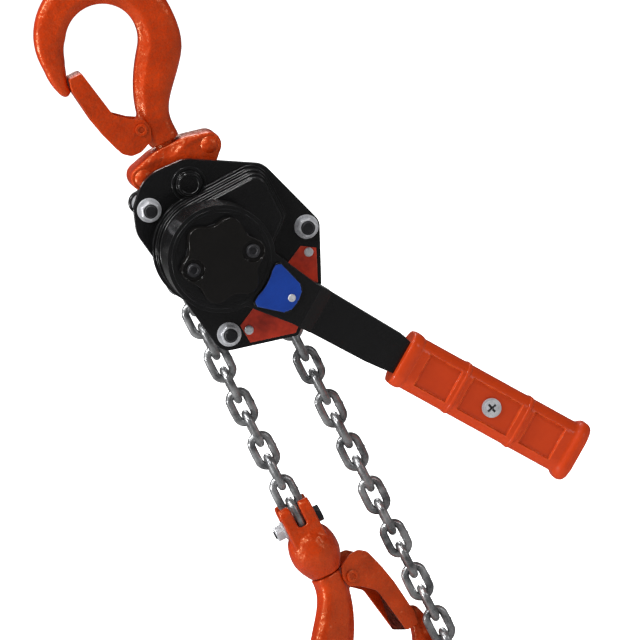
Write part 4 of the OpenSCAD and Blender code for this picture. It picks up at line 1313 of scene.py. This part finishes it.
@dataclass
class Yokes:
    """The two-part yoke over the frame and the ball-shaped one on the chain."""

    rivet_spread: float = 53.4
    rivet_drop: float = 13.2
    depth: float = 30.0
    head_proud: float = 0.8
    dome_radius: float = 7.0
    dome_half: float = 4.0
    face_back: float = 1.4
    scoop_size: tuple[float, float, float] = (17.0, 10.0, 15.0)
    scoop_from: tuple[float, float] = (20.0, 3.0)
    face_within: float = 0.6
    seam_overlap: float = 0.4
    top_passes: tuple[int, int] = (3, 22)
    ball_grain: float = 0.7
    ball_passes: int = 34

    def domes(self) -> Piece:
        """Heads the top yoke's rivets with low domes, front and back.

        Returns:
            The domes in place.
        """
        domes = []
        reach = self.depth / 2 + self.head_proud - self.dome_half
        for side in (-1, 1):
            for way in (-1, 1):
                centre = Vector((side * self.rivet_spread / 2, way * reach, -self.rivet_drop)) * MM
                dome = block_out("dome", bpy.ops.mesh.primitive_uv_sphere_add, segments=40,
                                 ring_count=24, radius=self.dome_radius * MM, location=centre)
                flatter = (1, self.dome_half / self.dome_radius, 1)
                with shaping(dome):
                    pick_all()
                    bpy.ops.transform.resize(value=flatter, center_override=centre)
                domes.append(settle(dome, TOP_HOOK_FRAME))
        return joined("yoke_domes", domes)

    def scooped(self, yoke: Piece) -> Piece:
        """Scoops the top yoke's faces between the lobes, below its mouth.

        Args:
            yoke: the fused yoke in place.

        Returns:
            The same yoke.
        """
        out, up = self.scoop_from
        for way in (-1, 1):
            scoop = block_out("scoop", bpy.ops.mesh.primitive_uv_sphere_add, segments=48,
                              ring_count=32, radius=MM, scale=self.scoop_size,
                              location=Vector((0, way * out, up)) * MM)
            bored(yoke, settle(scoop, TOP_HOOK_FRAME))
        return yoke

    def fused(self, name: str, halves: Sequence[str], across: Vector, grain: float, passes: int
              ) -> Piece:
        """Forges a yoke from its two halves, so that no seam shows.

        Args:
            name: name of the yoke.
            halves: its two construction parts.
            across: the way from one half to the other.
            grain: size of the new faces, in millimetres.
            passes: how often the surface is relaxed.

        Returns:
            The yoke.
        """
        parts = [casting_of(node, node) for node in halves]
        middles = [sum(v.co.dot(across) for v in part.data.vertices) / len(part.data.vertices)
                   for part in parts]
        seam = sum(middles) / 2
        for part, half in zip(parts, middles):
            toward = 1 if half < seam else -1
            inner = max(v.co.dot(across) * toward for v in part.data.vertices)
            with shaping(part):
                pick(Element.VERT, lambda v: v.co.dot(across) * toward > inner - 0.05 * MM)
                bpy.ops.transform.translate(value=across * toward * self.seam_overlap * MM)
        return smoothed(relaxed(joined(name, parts), grain, passes), 60)

    def build(self, shop: Paintshop) -> None:
        """Makes and dresses both yokes.

        Args:
            shop: the finishes.
        """
        halves = ("top_yoke_front", "top_yoke_back")
        first_passes, last_passes = self.top_passes
        top = self.fused("top_yoke_forging", halves, Vector((0, 1, 0)), FORGED_GRAIN, first_passes)
        face = (self.depth / 2 - self.face_within) * MM
        with shaping(top):
            for way in (-1, 1):
                pick(Element.VERT, lambda v: v.co.y * way > face)
                bpy.ops.transform.translate(value=(0, -way * self.face_back * MM, 0))
        self.scooped(top)
        relaxed(top, FORGED_GRAIN, last_passes)
        top = smoothed(joined("top_yoke_forging", [top, self.domes()]), 60)
        hang(top, shop, "orange_paint", "top_yoke", *halves, "top_yoke_rivets")
        halves = ("bottom_yoke_left", "bottom_yoke_right")
        ball = self.fused("ball_yoke_forging", halves, Vector((1, 0, 0)), self.ball_grain,
                          self.ball_passes)
        hang(ball, shop, "orange_paint", "bottom_yoke", *halves)


# ---- Frame and covers ----


@dataclass
class BrakeCover:
    """Pressed cover over the brake, with its stepped drum and the pin's boss."""

    outline: tuple = (
        (STAYS[0], 11.0), ((-20.0, 31.0), 21.5), ((-9.0, 42.5), 25.0), (PIN_AT, 18.0),
        ((51.0, 27.0), 14.0), (STAYS[1], 10.0), ((59.5, -59.5), 2.5), ((28.5, -83.5), 3.5),
        (STAYS[2], 12.0),
    )
    drum: tuple = (((0.0, 0.0), 42.0), ((47.0, 27.5), 15.0), ((50.0, 2.0), 12.0))
    drum_steps: tuple = (
        (2.2, 3.0), (0.0, 6.0), (1.9, 2.2), (0.0, 7.0), (1.9, 2.0), (0.0, 2.6), (0.8, 0.7),
    )
    drum_narrower: float = 0.6
    drum_foot: float = 3.5
    flange_depth: float = 2.5
    sunk: float = 0.5
    boss_radius: float = 12.6
    boss_proud: float = 1.4
    boss_ditch: tuple[float, float] = (2.0, -0.6)
    boss_steps: tuple = ((0.9, 3.6), (1.6, 0.7), (1.6, -0.9))
    collar_radius: float = 22.0
    collar_front: float = -55.5

    def flange(self) -> Piece:
        """Blanks the flange that lies on the side plate."""
        flange = wrapped("cover_flange", self.outline, FLANGE_Y, FLANGE_Y + self.flange_depth)
        return eased(flange, 0.6)

    def drum_shell(self) -> Piece:
        """Draws the drum in three steps, each narrower than the last.

        Returns:
            The drum.
        """
        base = [(at, radius - self.drum_narrower) for at, radius in self.drum]
        shell = wrapped("cover_drum", base, FLANGE_Y - self.drum_foot, FLANGE_Y + self.sunk)
        with shaping(shell):
            for inset, rise in self.drum_steps:
                step_front(inset, rise)
        return eased(shell, 1.0, 3, 20)

    def pin_boss(self) -> Piece:
        """Swells the boss over the suspension pin, with a rim round it.

        Returns:
            The boss.
        """
        front, back = FLANGE_Y - self.boss_proud, FLANGE_Y + self.sunk
        boss = rod("cover_boss", PIN_AT, self.boss_radius, front, back, 56)
        with shaping(boss):
            step_front(*self.boss_ditch)
            for inset, rise in self.boss_steps:
                step_on(inset, rise)
        return eased(boss, 0.6, 3, 15)

    def collar(self) -> Piece:
        """Turns the collar that carries the lever's head."""
        collar = rod("cover_collar", (0, 0), self.collar_radius, self.collar_front, DRUM_FACE_Y + 4)
        return eased(collar, 0.5)

    def build(self, shop: Paintshop) -> None:
        """Makes and dresses the cover.

        Args:
            shop: the finishes.
        """
        parts = [self.flange(), self.drum_shell(), self.pin_boss(), self.collar()]
        cover = settle(smoothed(joined("brake_cover_pressing", parts), 35), HUB_FRAME)
        hang(cover, shop, "black_paint", "frame", "brake_cover")
        dressed("gear_cover", "gear_cover_pressing", shop, "black_paint", "frame", 0.7)
        for node in ("side_plate_front", "side_plate_back"):
            dressed(node, f"{node}_blank", shop, "black_paint", "frame", 0.35, 1)


@dataclass
class Fasteners:
    """Stay nuts with their washers, the bolts' ends, and the yoke's nut and bolt.

    The nuts stand as tightening left them: first_turn and next_turn are in degrees, lock_turn is in
    radians. A nut's chamfer is a share of its radius.
    """

    washer_radius: float = 8.8
    washer_depth: float = 1.6
    nut_radius: float = 7.2
    nut_depth: float = 6.2
    stay_radius: float = 4.0
    insert_radius: float = 5.2
    first_turn: float = 18.0
    next_turn: float = 23.0
    lock_nut: tuple[float, float, float] = (6.4, 5.6, 3.0)
    lock_washer: tuple[float, float] = (7.0, 1.4)
    lock_out: float = 12.5
    lock_turn: float = 0.3
    chamfer: float = 0.12
    crown: float = 0.5
    thread_sunk: float = 1.0
    insert_proud: float = 0.8

    def nut(self, name: str, radius: float, depth: float, hole: float) -> Piece:
        """Machines a hexagon nut with its chamfered crown, standing on Y = 0.

        Args:
            name: name of the nut.
            radius: radius over its corners.
            depth: its depth.
            hole: radius of its thread.

        Returns:
            The nut, facing -Y.
        """
        nut = rod(name, (0, 0), radius, -depth, 0, 6)
        with shaping(nut):
            crown_front(radius * self.chamfer, self.crown)
            pick(Element.FACE, facing(0, 1, 0))
            bpy.ops.mesh.inset(thickness=radius * self.chamfer * MM)
            pick(Element.FACE,
                 lambda f: f.normal.y < -0.95 and len(f.verts) == 6 and abs(middle(f).x) < 0.1)
            step_on((radius * (1 - self.chamfer) - hole) * 0.75, -self.thread_sunk)
        return eased(nut, 0.35, 2, 20)

    def washer(self, name: str, radius: float, depth: float) -> Piece:
        """Stamps a washer with its burred edge, standing on Y = 0.

        Args:
            name: name of the washer.
            radius: its radius.
            depth: its depth.

        Returns:
            The washer, facing -Y.
        """
        washer = rod(name, (0, 0), radius, -depth, 0, 48)
        with shaping(washer):
            crown_front(0.7, 0.15)
        return eased(washer, 0.25, 2, 20)

    def build(self, shop: Paintshop) -> None:
        """Makes and dresses the fasteners.

        Args:
            shop: the finishes.
        """
        washer = self.washer("washer", self.washer_radius, self.washer_depth)
        nut = self.nut("nut", self.nut_radius, self.nut_depth, self.stay_radius)
        parts = []
        for index, (x, z) in enumerate(STAYS):
            seat = HUB_FRAME @ moved_by(x, FLANGE_Y, z)
            on_washer = seat @ moved_by(0, -self.washer_depth, 0)
            turn = turned_by(self.first_turn + self.next_turn * index, "Y")
            parts.append(another(washer, "stay_washer", seat))
            parts.append(another(nut, "stay_nut", on_washer @ turn))
        nuts = smoothed(joined("stay_nuts_and_washers", parts), 35)
        hang(nuts, shop, "zinc", "frame", "stay_nuts")
        bpy.data.objects.remove(washer)
        bpy.data.objects.remove(nut)

        ends = [eased(casting_of("stay_bolts", "stay_rods"), 0.4, 2)]
        top = FLANGE_Y - self.washer_depth - self.nut_depth
        for at in STAYS:
            insert = rod("insert", at, self.insert_radius, top - self.insert_proud, top + 0.4, 40)
            with shaping(insert):
                step_front(1.0, 0.35)
            ends.append(settle(eased(insert, 0.25, 2, 20), HUB_FRAME))
        rods = smoothed(joined("stay_rods", ends), 35)
        hang(rods, shop, "dark_steel", "frame", "stay_bolts")

        seat = HUB_FRAME @ moved_by(-FALL_X - self.lock_out, 0, YOKE_BOLT_Z) @ turned_by(-90, "Z")
        lock = self.nut("lock", *self.lock_nut)
        foot = self.washer("foot", *self.lock_washer)
        on_foot = moved_by(0, -self.lock_washer[1], 0)
        settle(foot, seat)
        settle(lock, seat @ on_foot @ Matrix.Rotation(self.lock_turn, 4, "Y"))
        lock_nut = smoothed(joined("yoke_lock_nut", [foot, lock]), 35)
        hang(lock_nut, shop, "zinc", "bottom_yoke", "yoke_nut")
        dressed("yoke_bolt", "yoke_bolt_blank", shop, "dark_steel", "bottom_yoke", 0.6)


class Nameplate:
    """The bare plate on the cover's lower edge, held by two rivets."""

    def build(self, shop: Paintshop) -> None:
        """Makes and dresses the plate and its rivets."""
        dressed("nameplate", "nameplate_blank", shop, "red_plate", "frame", 0.25)
        dressed("nameplate_rivets", "nameplate_rivet_heads", shop, "zinc", "frame", 0.3, 2, 40, 60)


# ---- Lever ----


@dataclass
class Lever:
    """The lever's two shells, with the pressed rim round the head."""

    bead_radius: float = 36.0
    bead_width: float = 2.4
    bead_rise: float = 0.25
    bead_sunk: float = 0.5
    bead_fall: float = 0.2
    pressed: tuple[float, int] = (1.4, 3)

    def rim(self) -> Piece:
        """Rolls the bead that runs round the head's face.

        Returns:
            The bead in the hub's frame.
        """
        front, back = HEAD_FRONT_Y - self.bead_rise, HEAD_FRONT_Y + self.bead_sunk
        bead = rod("head_bead", (0, 0), self.bead_radius, front, back, 96)
        with shaping(bead):
            pick(Element.FACE, facing(0, -1, 0))
            step_on(self.bead_width, -self.bead_fall)
        return eased(bead, 0.4, 2, 20)

    def build(self, shop: Paintshop) -> None:
        """Makes and dresses the lever's shells.

        Args:
            shop: the finishes.
        """
        dressed("lever_back", "lever_back_shell", shop, "black_paint", "lever", *self.pressed,
                shade=40)
        front = eased(casting_of("lever_front", "lever_front_shell"), *self.pressed)
        shell = joined("lever_front_shell", [front, settle(self.rim(), HUB_FRAME)])
        hang(smoothed(shell, 40), shop, "black_paint", "lever", "lever_front")


@dataclass
class Grip:
    """Moulded grip with its collars, ribs and sunken panels, and the screw."""

    start: float = 152.0
    length: float = 148.0
    width: float = 39.5
    depth: float = 31.0
    corner_share: float = 0.36
    beads: tuple = ((0.0, 9.5, 1.5, 1.5), (45.9, 3.0, 0.8, 0.9), (97.9, 3.0, 0.8, 0.9))
    bead_shape: tuple = (
        (0.02, 0.3), (0.1, 0.62), (0.25, 0.88), (0.5, 1.0), (0.75, 0.85), (0.9, 0.5), (1.0, 0.0),
    )
    flare: tuple = (
        (136.0, 0.0, 0.0), (137.6, 0.3, 0.1), (138.8, 1.1, 0.6), (140.0, 2.1, 1.3), (141.4, 2.9, 1.8),
        (143.2, 3.25, 2.0), (145.0, 3.0, 1.8), (146.7, 2.2, 1.2), (147.8, 1.2, 0.5),
    )
    panels: tuple = ((16.0, 27.0), (52.0, 42.0), (104.0, 26.0))
    panel_rim: float = 0.7
    panel_depth: float = 1.9
    screw_at: float = 74.2
    screw_radius: float = 7.0
    screw_rise: float = 1.6
    screw_span: tuple[float, float] = (-0.8, 1.6)
    screw_steps: tuple = ((1.4, 0.55), (2.4, 0.2))
    shank_radius: float = 2.9
    shank_short: float = 4.0
    cross_turns: tuple[float, float] = (20.0, 110.0)
    cross_size: tuple[float, float, float] = (7.6, 4.0, 1.9)
    # Size and sinking of the dark cross that paints the shade in the screw's recess
    shade_bar_size: tuple[float, float, float] = (7.4, 0.5, 1.8)
    shade_bar_lift: float = 0.55

    def moulding(self) -> Piece:
        """Moulds the grip upright in the lever's frame.

        Returns:
            The grip.
        """
        top = -self.start
        grip = block_out(
            "grip_moulding",
            bpy.ops.mesh.primitive_cube_add,
            size=MM,
            location=Vector((0, SPLIT_Y, top - self.length / 2)) * MM,
            scale=(self.width, self.depth, self.length),
        )
        axis = Vector((0, SPLIT_Y, 0)) * MM
        rings = [(at + size * way, wide * out, deep * out) for at, size, wide, deep in self.beads
                 for way, out in self.bead_shape]
        rings += self.flare
        cuts = [z for z, _, _ in rings] + [z for at, size in self.panels for z in (at, at + size)]
        with shaping(grip):
            pick(Element.EDGE, lambda e: abs((e.verts[0].co - e.verts[1].co).normalized().z) > 0.9)
            bpy.ops.mesh.bevel(offset=self.depth * self.corner_share * MM, segments=8)
            for z in sorted(cuts):
                if 0 < z < self.length:
                    pick_all()
                    bpy.ops.mesh.bisect(plane_co=(0, 0, (top - z) * MM), plane_no=(0, 0, 1))
            for z, wide, deep in rings:
                if wide:
                    pick(Element.VERT, lambda v: abs(v.co.z / MM - top + z) < 0.02)
                    wider = (1 + 2 * wide / self.width, 1 + 2 * deep / self.depth, 1)
                    bpy.ops.transform.resize(value=wider, center_override=axis)
            for way in (-1, 1):
                for at, size in self.panels:
                    pick(Element.FACE,
                         lambda f: f.normal.y * way > 0.95 and -at - size < middle(f).z - top < -at)
                    bpy.ops.mesh.inset(thickness=self.panel_rim * MM)
                    bpy.ops.transform.translate(value=(0, -way * self.panel_depth * MM, 0))
        return smoothed(eased(grip, 0.7, 3, 35), 50)

    def cross(self, name: str, size: Sequence[float], depth: float) -> list[Piece]:
        """Blocks out the two bars of a cross on the screw's axis.

        Args:
            name: name of the bars.
            size: length, depth and width of each, in millimetres.
            depth: Y of their middle, in millimetres.

        Returns:
            The bars in the lever's frame.
        """
        place = moved_by(0, depth, -self.start - self.screw_at)
        return [settle(block_out(name, bpy.ops.mesh.primitive_cube_add, size=MM, scale=size),
                       place @ turned_by(turn, "Y")) for turn in self.cross_turns]

    def screw(self) -> Piece:
        """Turns the pan-headed screw with its cross recess.

        Returns:
            The screw in the lever's frame.
        """
        face = SPLIT_Y - self.depth / 2
        at = (0.0, -self.start - self.screw_at)
        front, back = (face + depth for depth in self.screw_span)
        head = rod("grip_screw_head", at, self.screw_radius, front, back, 48)
        with shaping(head):
            for inset, rise in self.screw_steps:
                step_front(inset, rise)
        eased(head, 0.35, 2, 15)
        cutter = joined("recess", self.cross("recess", self.cross_size, face - self.screw_rise))
        applied(cutter, "REMESH", mode="VOXEL", voxel_size=0.22 * MM)
        bored(head, cutter)
        foot = face + self.depth - self.shank_short
        shank = rod("grip_screw_shank", at, self.shank_radius, face + 1.0, foot, 24)
        return smoothed(joined("grip_screw_turned", [head, eased(shank, 0.4)]), 35)

    def painted_recess_shade(self) -> Piece:
        """Fills the bottom of the screw's cross recess with a dark cross that paints the shade in it.

        Returns:
            The filling in the lever's frame.
        """
        bars = self.cross("grease", self.shade_bar_size, SPLIT_Y - self.depth / 2 - self.shade_bar_lift)
        for bar in bars:
            with shaping(bar):
                crown_front(0.3, -0.2)
        return joined("grip_screw_grease", bars)

    def build(self, shop: Paintshop) -> None:
        """Makes and dresses the grip and its screw.

        Args:
            shop: the finishes.
        """
        hang(settle(self.moulding(), LEVER_FRAME), shop, "grip", "lever", "grip")
        hang(settle(self.screw(), LEVER_FRAME), shop, "zinc", "lever", "grip_screw")
        # The dark cross in the screw's recess is painted shade
        hang(settle(self.painted_recess_shade(), LEVER_FRAME), shop, "dark_steel", "lever")


@dataclass
class ChangeLever:
    """The change-over lever on the head, with its bare coloured face and screw."""

    face_lift: float = 0.3
    face_spread: float = 0.9

    def face(self) -> Piece:
        """Turns the coloured face over the shield's raised edge.

        Returns:
            The face in place.
        """
        plate = casting_of("selector_plate", "change_plate")
        with shaping(plate):
            pick_all()
            bpy.ops.transform.translate(value=(0, -self.face_lift * MM, 0))
            pick(Element.FACE, lambda f: abs(f.normal.y) < 0.3 and f.calc_area() > 0.5 * MM * MM)
            bpy.ops.transform.shrink_fatten(value=self.face_spread * MM)
        return smoothed(eased(plate, 0.2), 35)

    def build(self, shop: Paintshop) -> None:
        """Makes and dresses the change-over lever.

        Args:
            shop: the finishes.
        """
        dressed("selector_lever", "change_shield", shop, "black_paint", "selector", 0.35)
        hang(self.face(), shop, "blue_plate", "selector", "selector_plate")
        dressed("selector_screw", "change_screw", shop, "zinc", "selector", 0.25, shade=50)


@dataclass
class Handwheel:
    """The lobed handwheel with its two screws in round recesses."""

    radius: float = 31.3
    trough: float = 2.9
    lobes: int = 6
    phase: float = -9.4
    screw_reach: float = 22.4
    screw_radius: float = 5.0
    screw_span: tuple[float, float] = (0.4, 2.2)
    screw_steps: tuple = ((0.9, 0.7), (1.4, -1.6))
    recess_radius: float = 7.8
    recess_depth: float = 2.0
    stations: int = 144

    def screw_places(self) -> list[tuple[float, float]]:
        """Gives X and Z of the two screws in the hub's frame."""
        turns = [math.radians(self.phase) + turn for turn in (0, math.pi)]
        reach = self.screw_reach
        return [(reach * math.cos(turn), reach * math.sin(turn)) for turn in turns]

    def wheel(self) -> Piece:
        """Moulds the lobed wheel from a round blank.

        Returns:
            The wheel in the hub's frame.
        """
        back = KNOB_BACK_Y - 0.1
        blank = rod("handwheel_moulding", (0, 0), self.radius, KNOB_FRONT_Y, back, self.stations)
        with shaping(blank):
            troughs: dict[float, set[int]] = {}
            for vertex in bmesh.from_edit_mesh(blank.data).verts:
                angle = math.atan2(vertex.co.z, vertex.co.x) - math.radians(self.phase)
                dip = self.trough * (1 - math.cos(self.lobes * angle))
                troughs.setdefault(round(dip, 3), set()).add(vertex.index)
            for dip, members in sorted(troughs.items()):
                if dip >= 0.01:
                    pick(Element.VERT, lambda v: v.index in members)
                    share = (self.radius - dip) / self.radius
                    bpy.ops.transform.resize(value=(share, 1, share), center_override=(0, 0, 0))
        deep, proud = KNOB_FRONT_Y + self.recess_depth, KNOB_FRONT_Y - self.recess_depth
        recesses = [rod("recess", at, self.recess_radius, proud, deep) for at in self.screw_places()]
        return smoothed(eased(bored(blank, joined("recess", recesses)), 0.7, 3, 50), 35)

    def screws(self) -> Piece:
        """Turns the two socket screws.

        Returns:
            The screws in the hub's frame.
        """
        front, back = (KNOB_FRONT_Y + depth for depth in self.screw_span)
        screws = []
        for at in self.screw_places():
            screw = rod("screw", at, self.screw_radius, front, back, 40)
            with shaping(screw):
                for inset, rise in self.screw_steps:
                    step_front(inset, rise)
            screws.append(eased(screw, 0.3, 3, 20))
        return smoothed(joined("handwheel_screw_heads", screws), 35)

    def build(self, shop: Paintshop) -> None:
        """Makes and dresses the handwheel.

        Args:
            shop: the finishes.
        """
        hang(settle(self.wheel(), HUB_FRAME), shop, "black_plastic", "drive", "handwheel")
        hang(settle(self.screws(), HUB_FRAME), shop, "dark_steel", "drive", "handwheel_screws")


class Workings:
    """Construction parts whose shape is already right, which only get a finish."""

    finishes: dict[str, tuple[str, ...]] = {
        "dark_steel": ("pocket_wheel", "load_gear", "chain_stripper", "disc_gear_upper",
                       "disc_gear_lower", "friction_hub", "friction_nut", "ratchet_disc",
                       "ratchet_pawl_upper", "ratchet_pawl_lower", "lever_bolts", "change_pawl",
                       "handwheel_hub"),
        "zinc": ("suspension_pin", "stay_spacers", "stripper_pins", "drive_shaft", "pawl_pins",
                 "top_latch_spring", "bottom_latch_spring"),
        "bronze": ("wheel_bearings",),
        "lining": ("friction_discs",),
    }

    def build(self, shop: Paintshop) -> None:
        """Dresses the parts.

        Args:
            shop: the finishes.
        """
        for slot, names in self.finishes.items():
            shop.coat_nodes(slot, names)
            log.info("%s on %s", slot, ", ".join(names))


# ---- Studio ----


def grey(share: float) -> tuple[float, float, float, float]:
    """Gives a grey in linear light, from 0 to 1."""
    return (share, share, share, 1)


@dataclass(frozen=True)
class Lamp:
    """A square soft lamp: where it hangs in metres, its power in watts and its width in metres."""

    name: str
    place: tuple[float, float, float]
    power: float
    size: float

    def hang_up(self, target: Vector) -> None:
        """Hangs the lamp up.

        Args:
            target: where it looks, in metres.
        """
        light = bpy.data.lights.new(self.name, "AREA")
        light.energy, light.size = self.power, self.size
        holder = bpy.data.objects.new(self.name, light)
        bpy.context.scene.collection.objects.link(holder)
        holder.location = self.place
        holder.rotation_euler = (target - Vector(self.place)).to_track_quat("-Z", "Y").to_euler()


@dataclass
class Studio:
    """Pale floor, soft lamps, even surroundings and the camera, in metres and degrees."""

    target: tuple[float, float, float] = (0.0506, 0.0, -0.2826)
    azimuth: float = -4.74
    elevation: float = 11.139
    roll: float = -26.60
    distance: float = 7.03
    pixels_per_metre: float = 1379.07
    picture: int = 640
    sensor: float = 36.0
    floor_radius: float = 40.0
    floor_gap: float = 0.001
    floor_greys: tuple[float, float] = (0.90, 0.93)
    floor_glow: float = 0.8
    mirrored_floor: float = 0.12
    soft_light: float = 0.22
    mirrored_light: float = 0.08
    lamps: tuple[Lamp, ...] = (
        Lamp("key", (-0.9, -2.1, 2.0), 36.0, 0.6),
        Lamp("side", (-2.5, -0.5, 0.3), 44.0, 0.7),
        Lamp("fill", (2.4, -2.4, 0.3), 14.0, 0.9),
        Lamp("corner", (-1.5, -0.3, 2.0), 50.0, 0.6),
        Lamp("top", (0.3, -0.4, 2.5), 44.0, 0.6),
        Lamp("rim", (0.6, 2.4, 1.6), 34.0, 1.2),
    )

    def floor(self) -> None:
        """Lays the floor, which keeps the shadow: pale to the camera, dark where it is mirrored."""
        floor = block_out("studio_floor", bpy.ops.mesh.primitive_circle_add, vertices=64,
                          radius=self.floor_radius, fill_type="NGON",
                          location=(0, 0, CAD_BOX[0][2] - self.floor_gap))
        material = bpy.data.materials.new("floor_paper")
        material.use_nodes = True
        wiring = Wiring(material.node_tree)
        ray = wiring.node("ShaderNodeLightPath").outputs
        place = wiring.node("ShaderNodeTexCoord").outputs["Object"]
        speckle = wiring.node("ShaderNodeTexNoise", {"Scale": 3.0, "Vector": place}).outputs["Fac"]
        paper = wiring.mixed(speckle, *(grey(share) for share in self.floor_greys))
        for label, value in {
            "Base Color": wiring.mixed(ray["Is Glossy Ray"], paper, grey(self.mirrored_floor)),
            "Roughness": 0.9,
            "Specular IOR Level": 0.1,
            "Emission Color": grey(1),
            "Emission Strength": wiring.maths("MULTIPLY", ray["Is Camera Ray"], self.floor_glow),
        }.items():
            wiring.feed(material.node_tree.nodes["Principled BSDF"].inputs[label], value)
        floor.data.materials.append(material)

    def surroundings(self) -> None:
        """Makes the world white to the camera, soft as a light and dim where it is mirrored."""
        world = bpy.data.worlds.new("studio_world")
        bpy.context.scene.world = world
        world.use_nodes = True
        wiring = Wiring(world.node_tree)
        ray = wiring.node("ShaderNodeLightPath").outputs
        strength = wiring.node("ShaderNodeMix", {"A": self.soft_light, "B": self.mirrored_light})
        wiring.link(ray["Is Glossy Ray"], strength.inputs["Factor"])
        seen = wiring.maths("MAXIMUM", ray["Is Camera Ray"], ray["Is Transmission Ray"])
        shown = wiring.maths("MAXIMUM", seen, strength.outputs["Result"])
        background = world.node_tree.nodes["Background"]
        background.inputs["Color"].default_value = grey(1)
        wiring.link(shown, background.inputs["Strength"])

    def camera(self) -> None:
        """Sets the camera far off, so that the view is almost parallel."""
        azimuth, elevation = math.radians(self.azimuth), math.radians(self.elevation)
        roll = math.radians(self.roll)
        level = math.cos(elevation)
        back = Vector((math.sin(azimuth) * level, -math.cos(azimuth) * level, math.sin(elevation)))
        right = Vector((math.cos(azimuth), math.sin(azimuth), 0))
        up = back.cross(right)
        turned_right = math.cos(roll) * right + math.sin(roll) * up
        turned_up = -math.sin(roll) * right + math.cos(roll) * up
        lens = bpy.data.cameras.new("camera")
        lens.sensor_width = self.sensor
        lens.lens = self.pixels_per_metre * self.distance * self.sensor / self.picture
        holder = bpy.data.objects.new("camera", lens)
        bpy.context.scene.collection.objects.link(holder)
        place = Matrix.Translation(Vector(self.target) + back * self.distance)
        holder.matrix_world = place @ Matrix((turned_right, turned_up, back)).transposed().to_4x4()
        lens.clip_start, lens.clip_end = 0.05, 100
        bpy.context.scene.camera = holder

    def build(self) -> None:
        """Sets up the whole studio."""
        self.floor()
        self.surroundings()
        for lamp in self.lamps:
            lamp.hang_up(Vector(self.target))
        self.camera()
        bpy.context.scene.view_settings.view_transform = "Standard"


def main() -> None:
    """Builds the hoist's sub-assemblies in order, then the studio."""
    shop = Paintshop()
    for part in (
        Workings(),
        Chains(),
        ForgedHook("top", TOP_HOOK_FRAME, bare=2.0),
        ForgedHook("bottom", BOTTOM_HOOK_FRAME, bare=10.0),
        Yokes(),
        BrakeCover(),
        Fasteners(),
        Nameplate(),
        Lever(),
        Grip(),
        ChangeLever(),
        Handwheel(),
    ):
        part.build(shop)
    lay_down_tools()
    Studio().build()


if __name__ == "__main__":
    main()
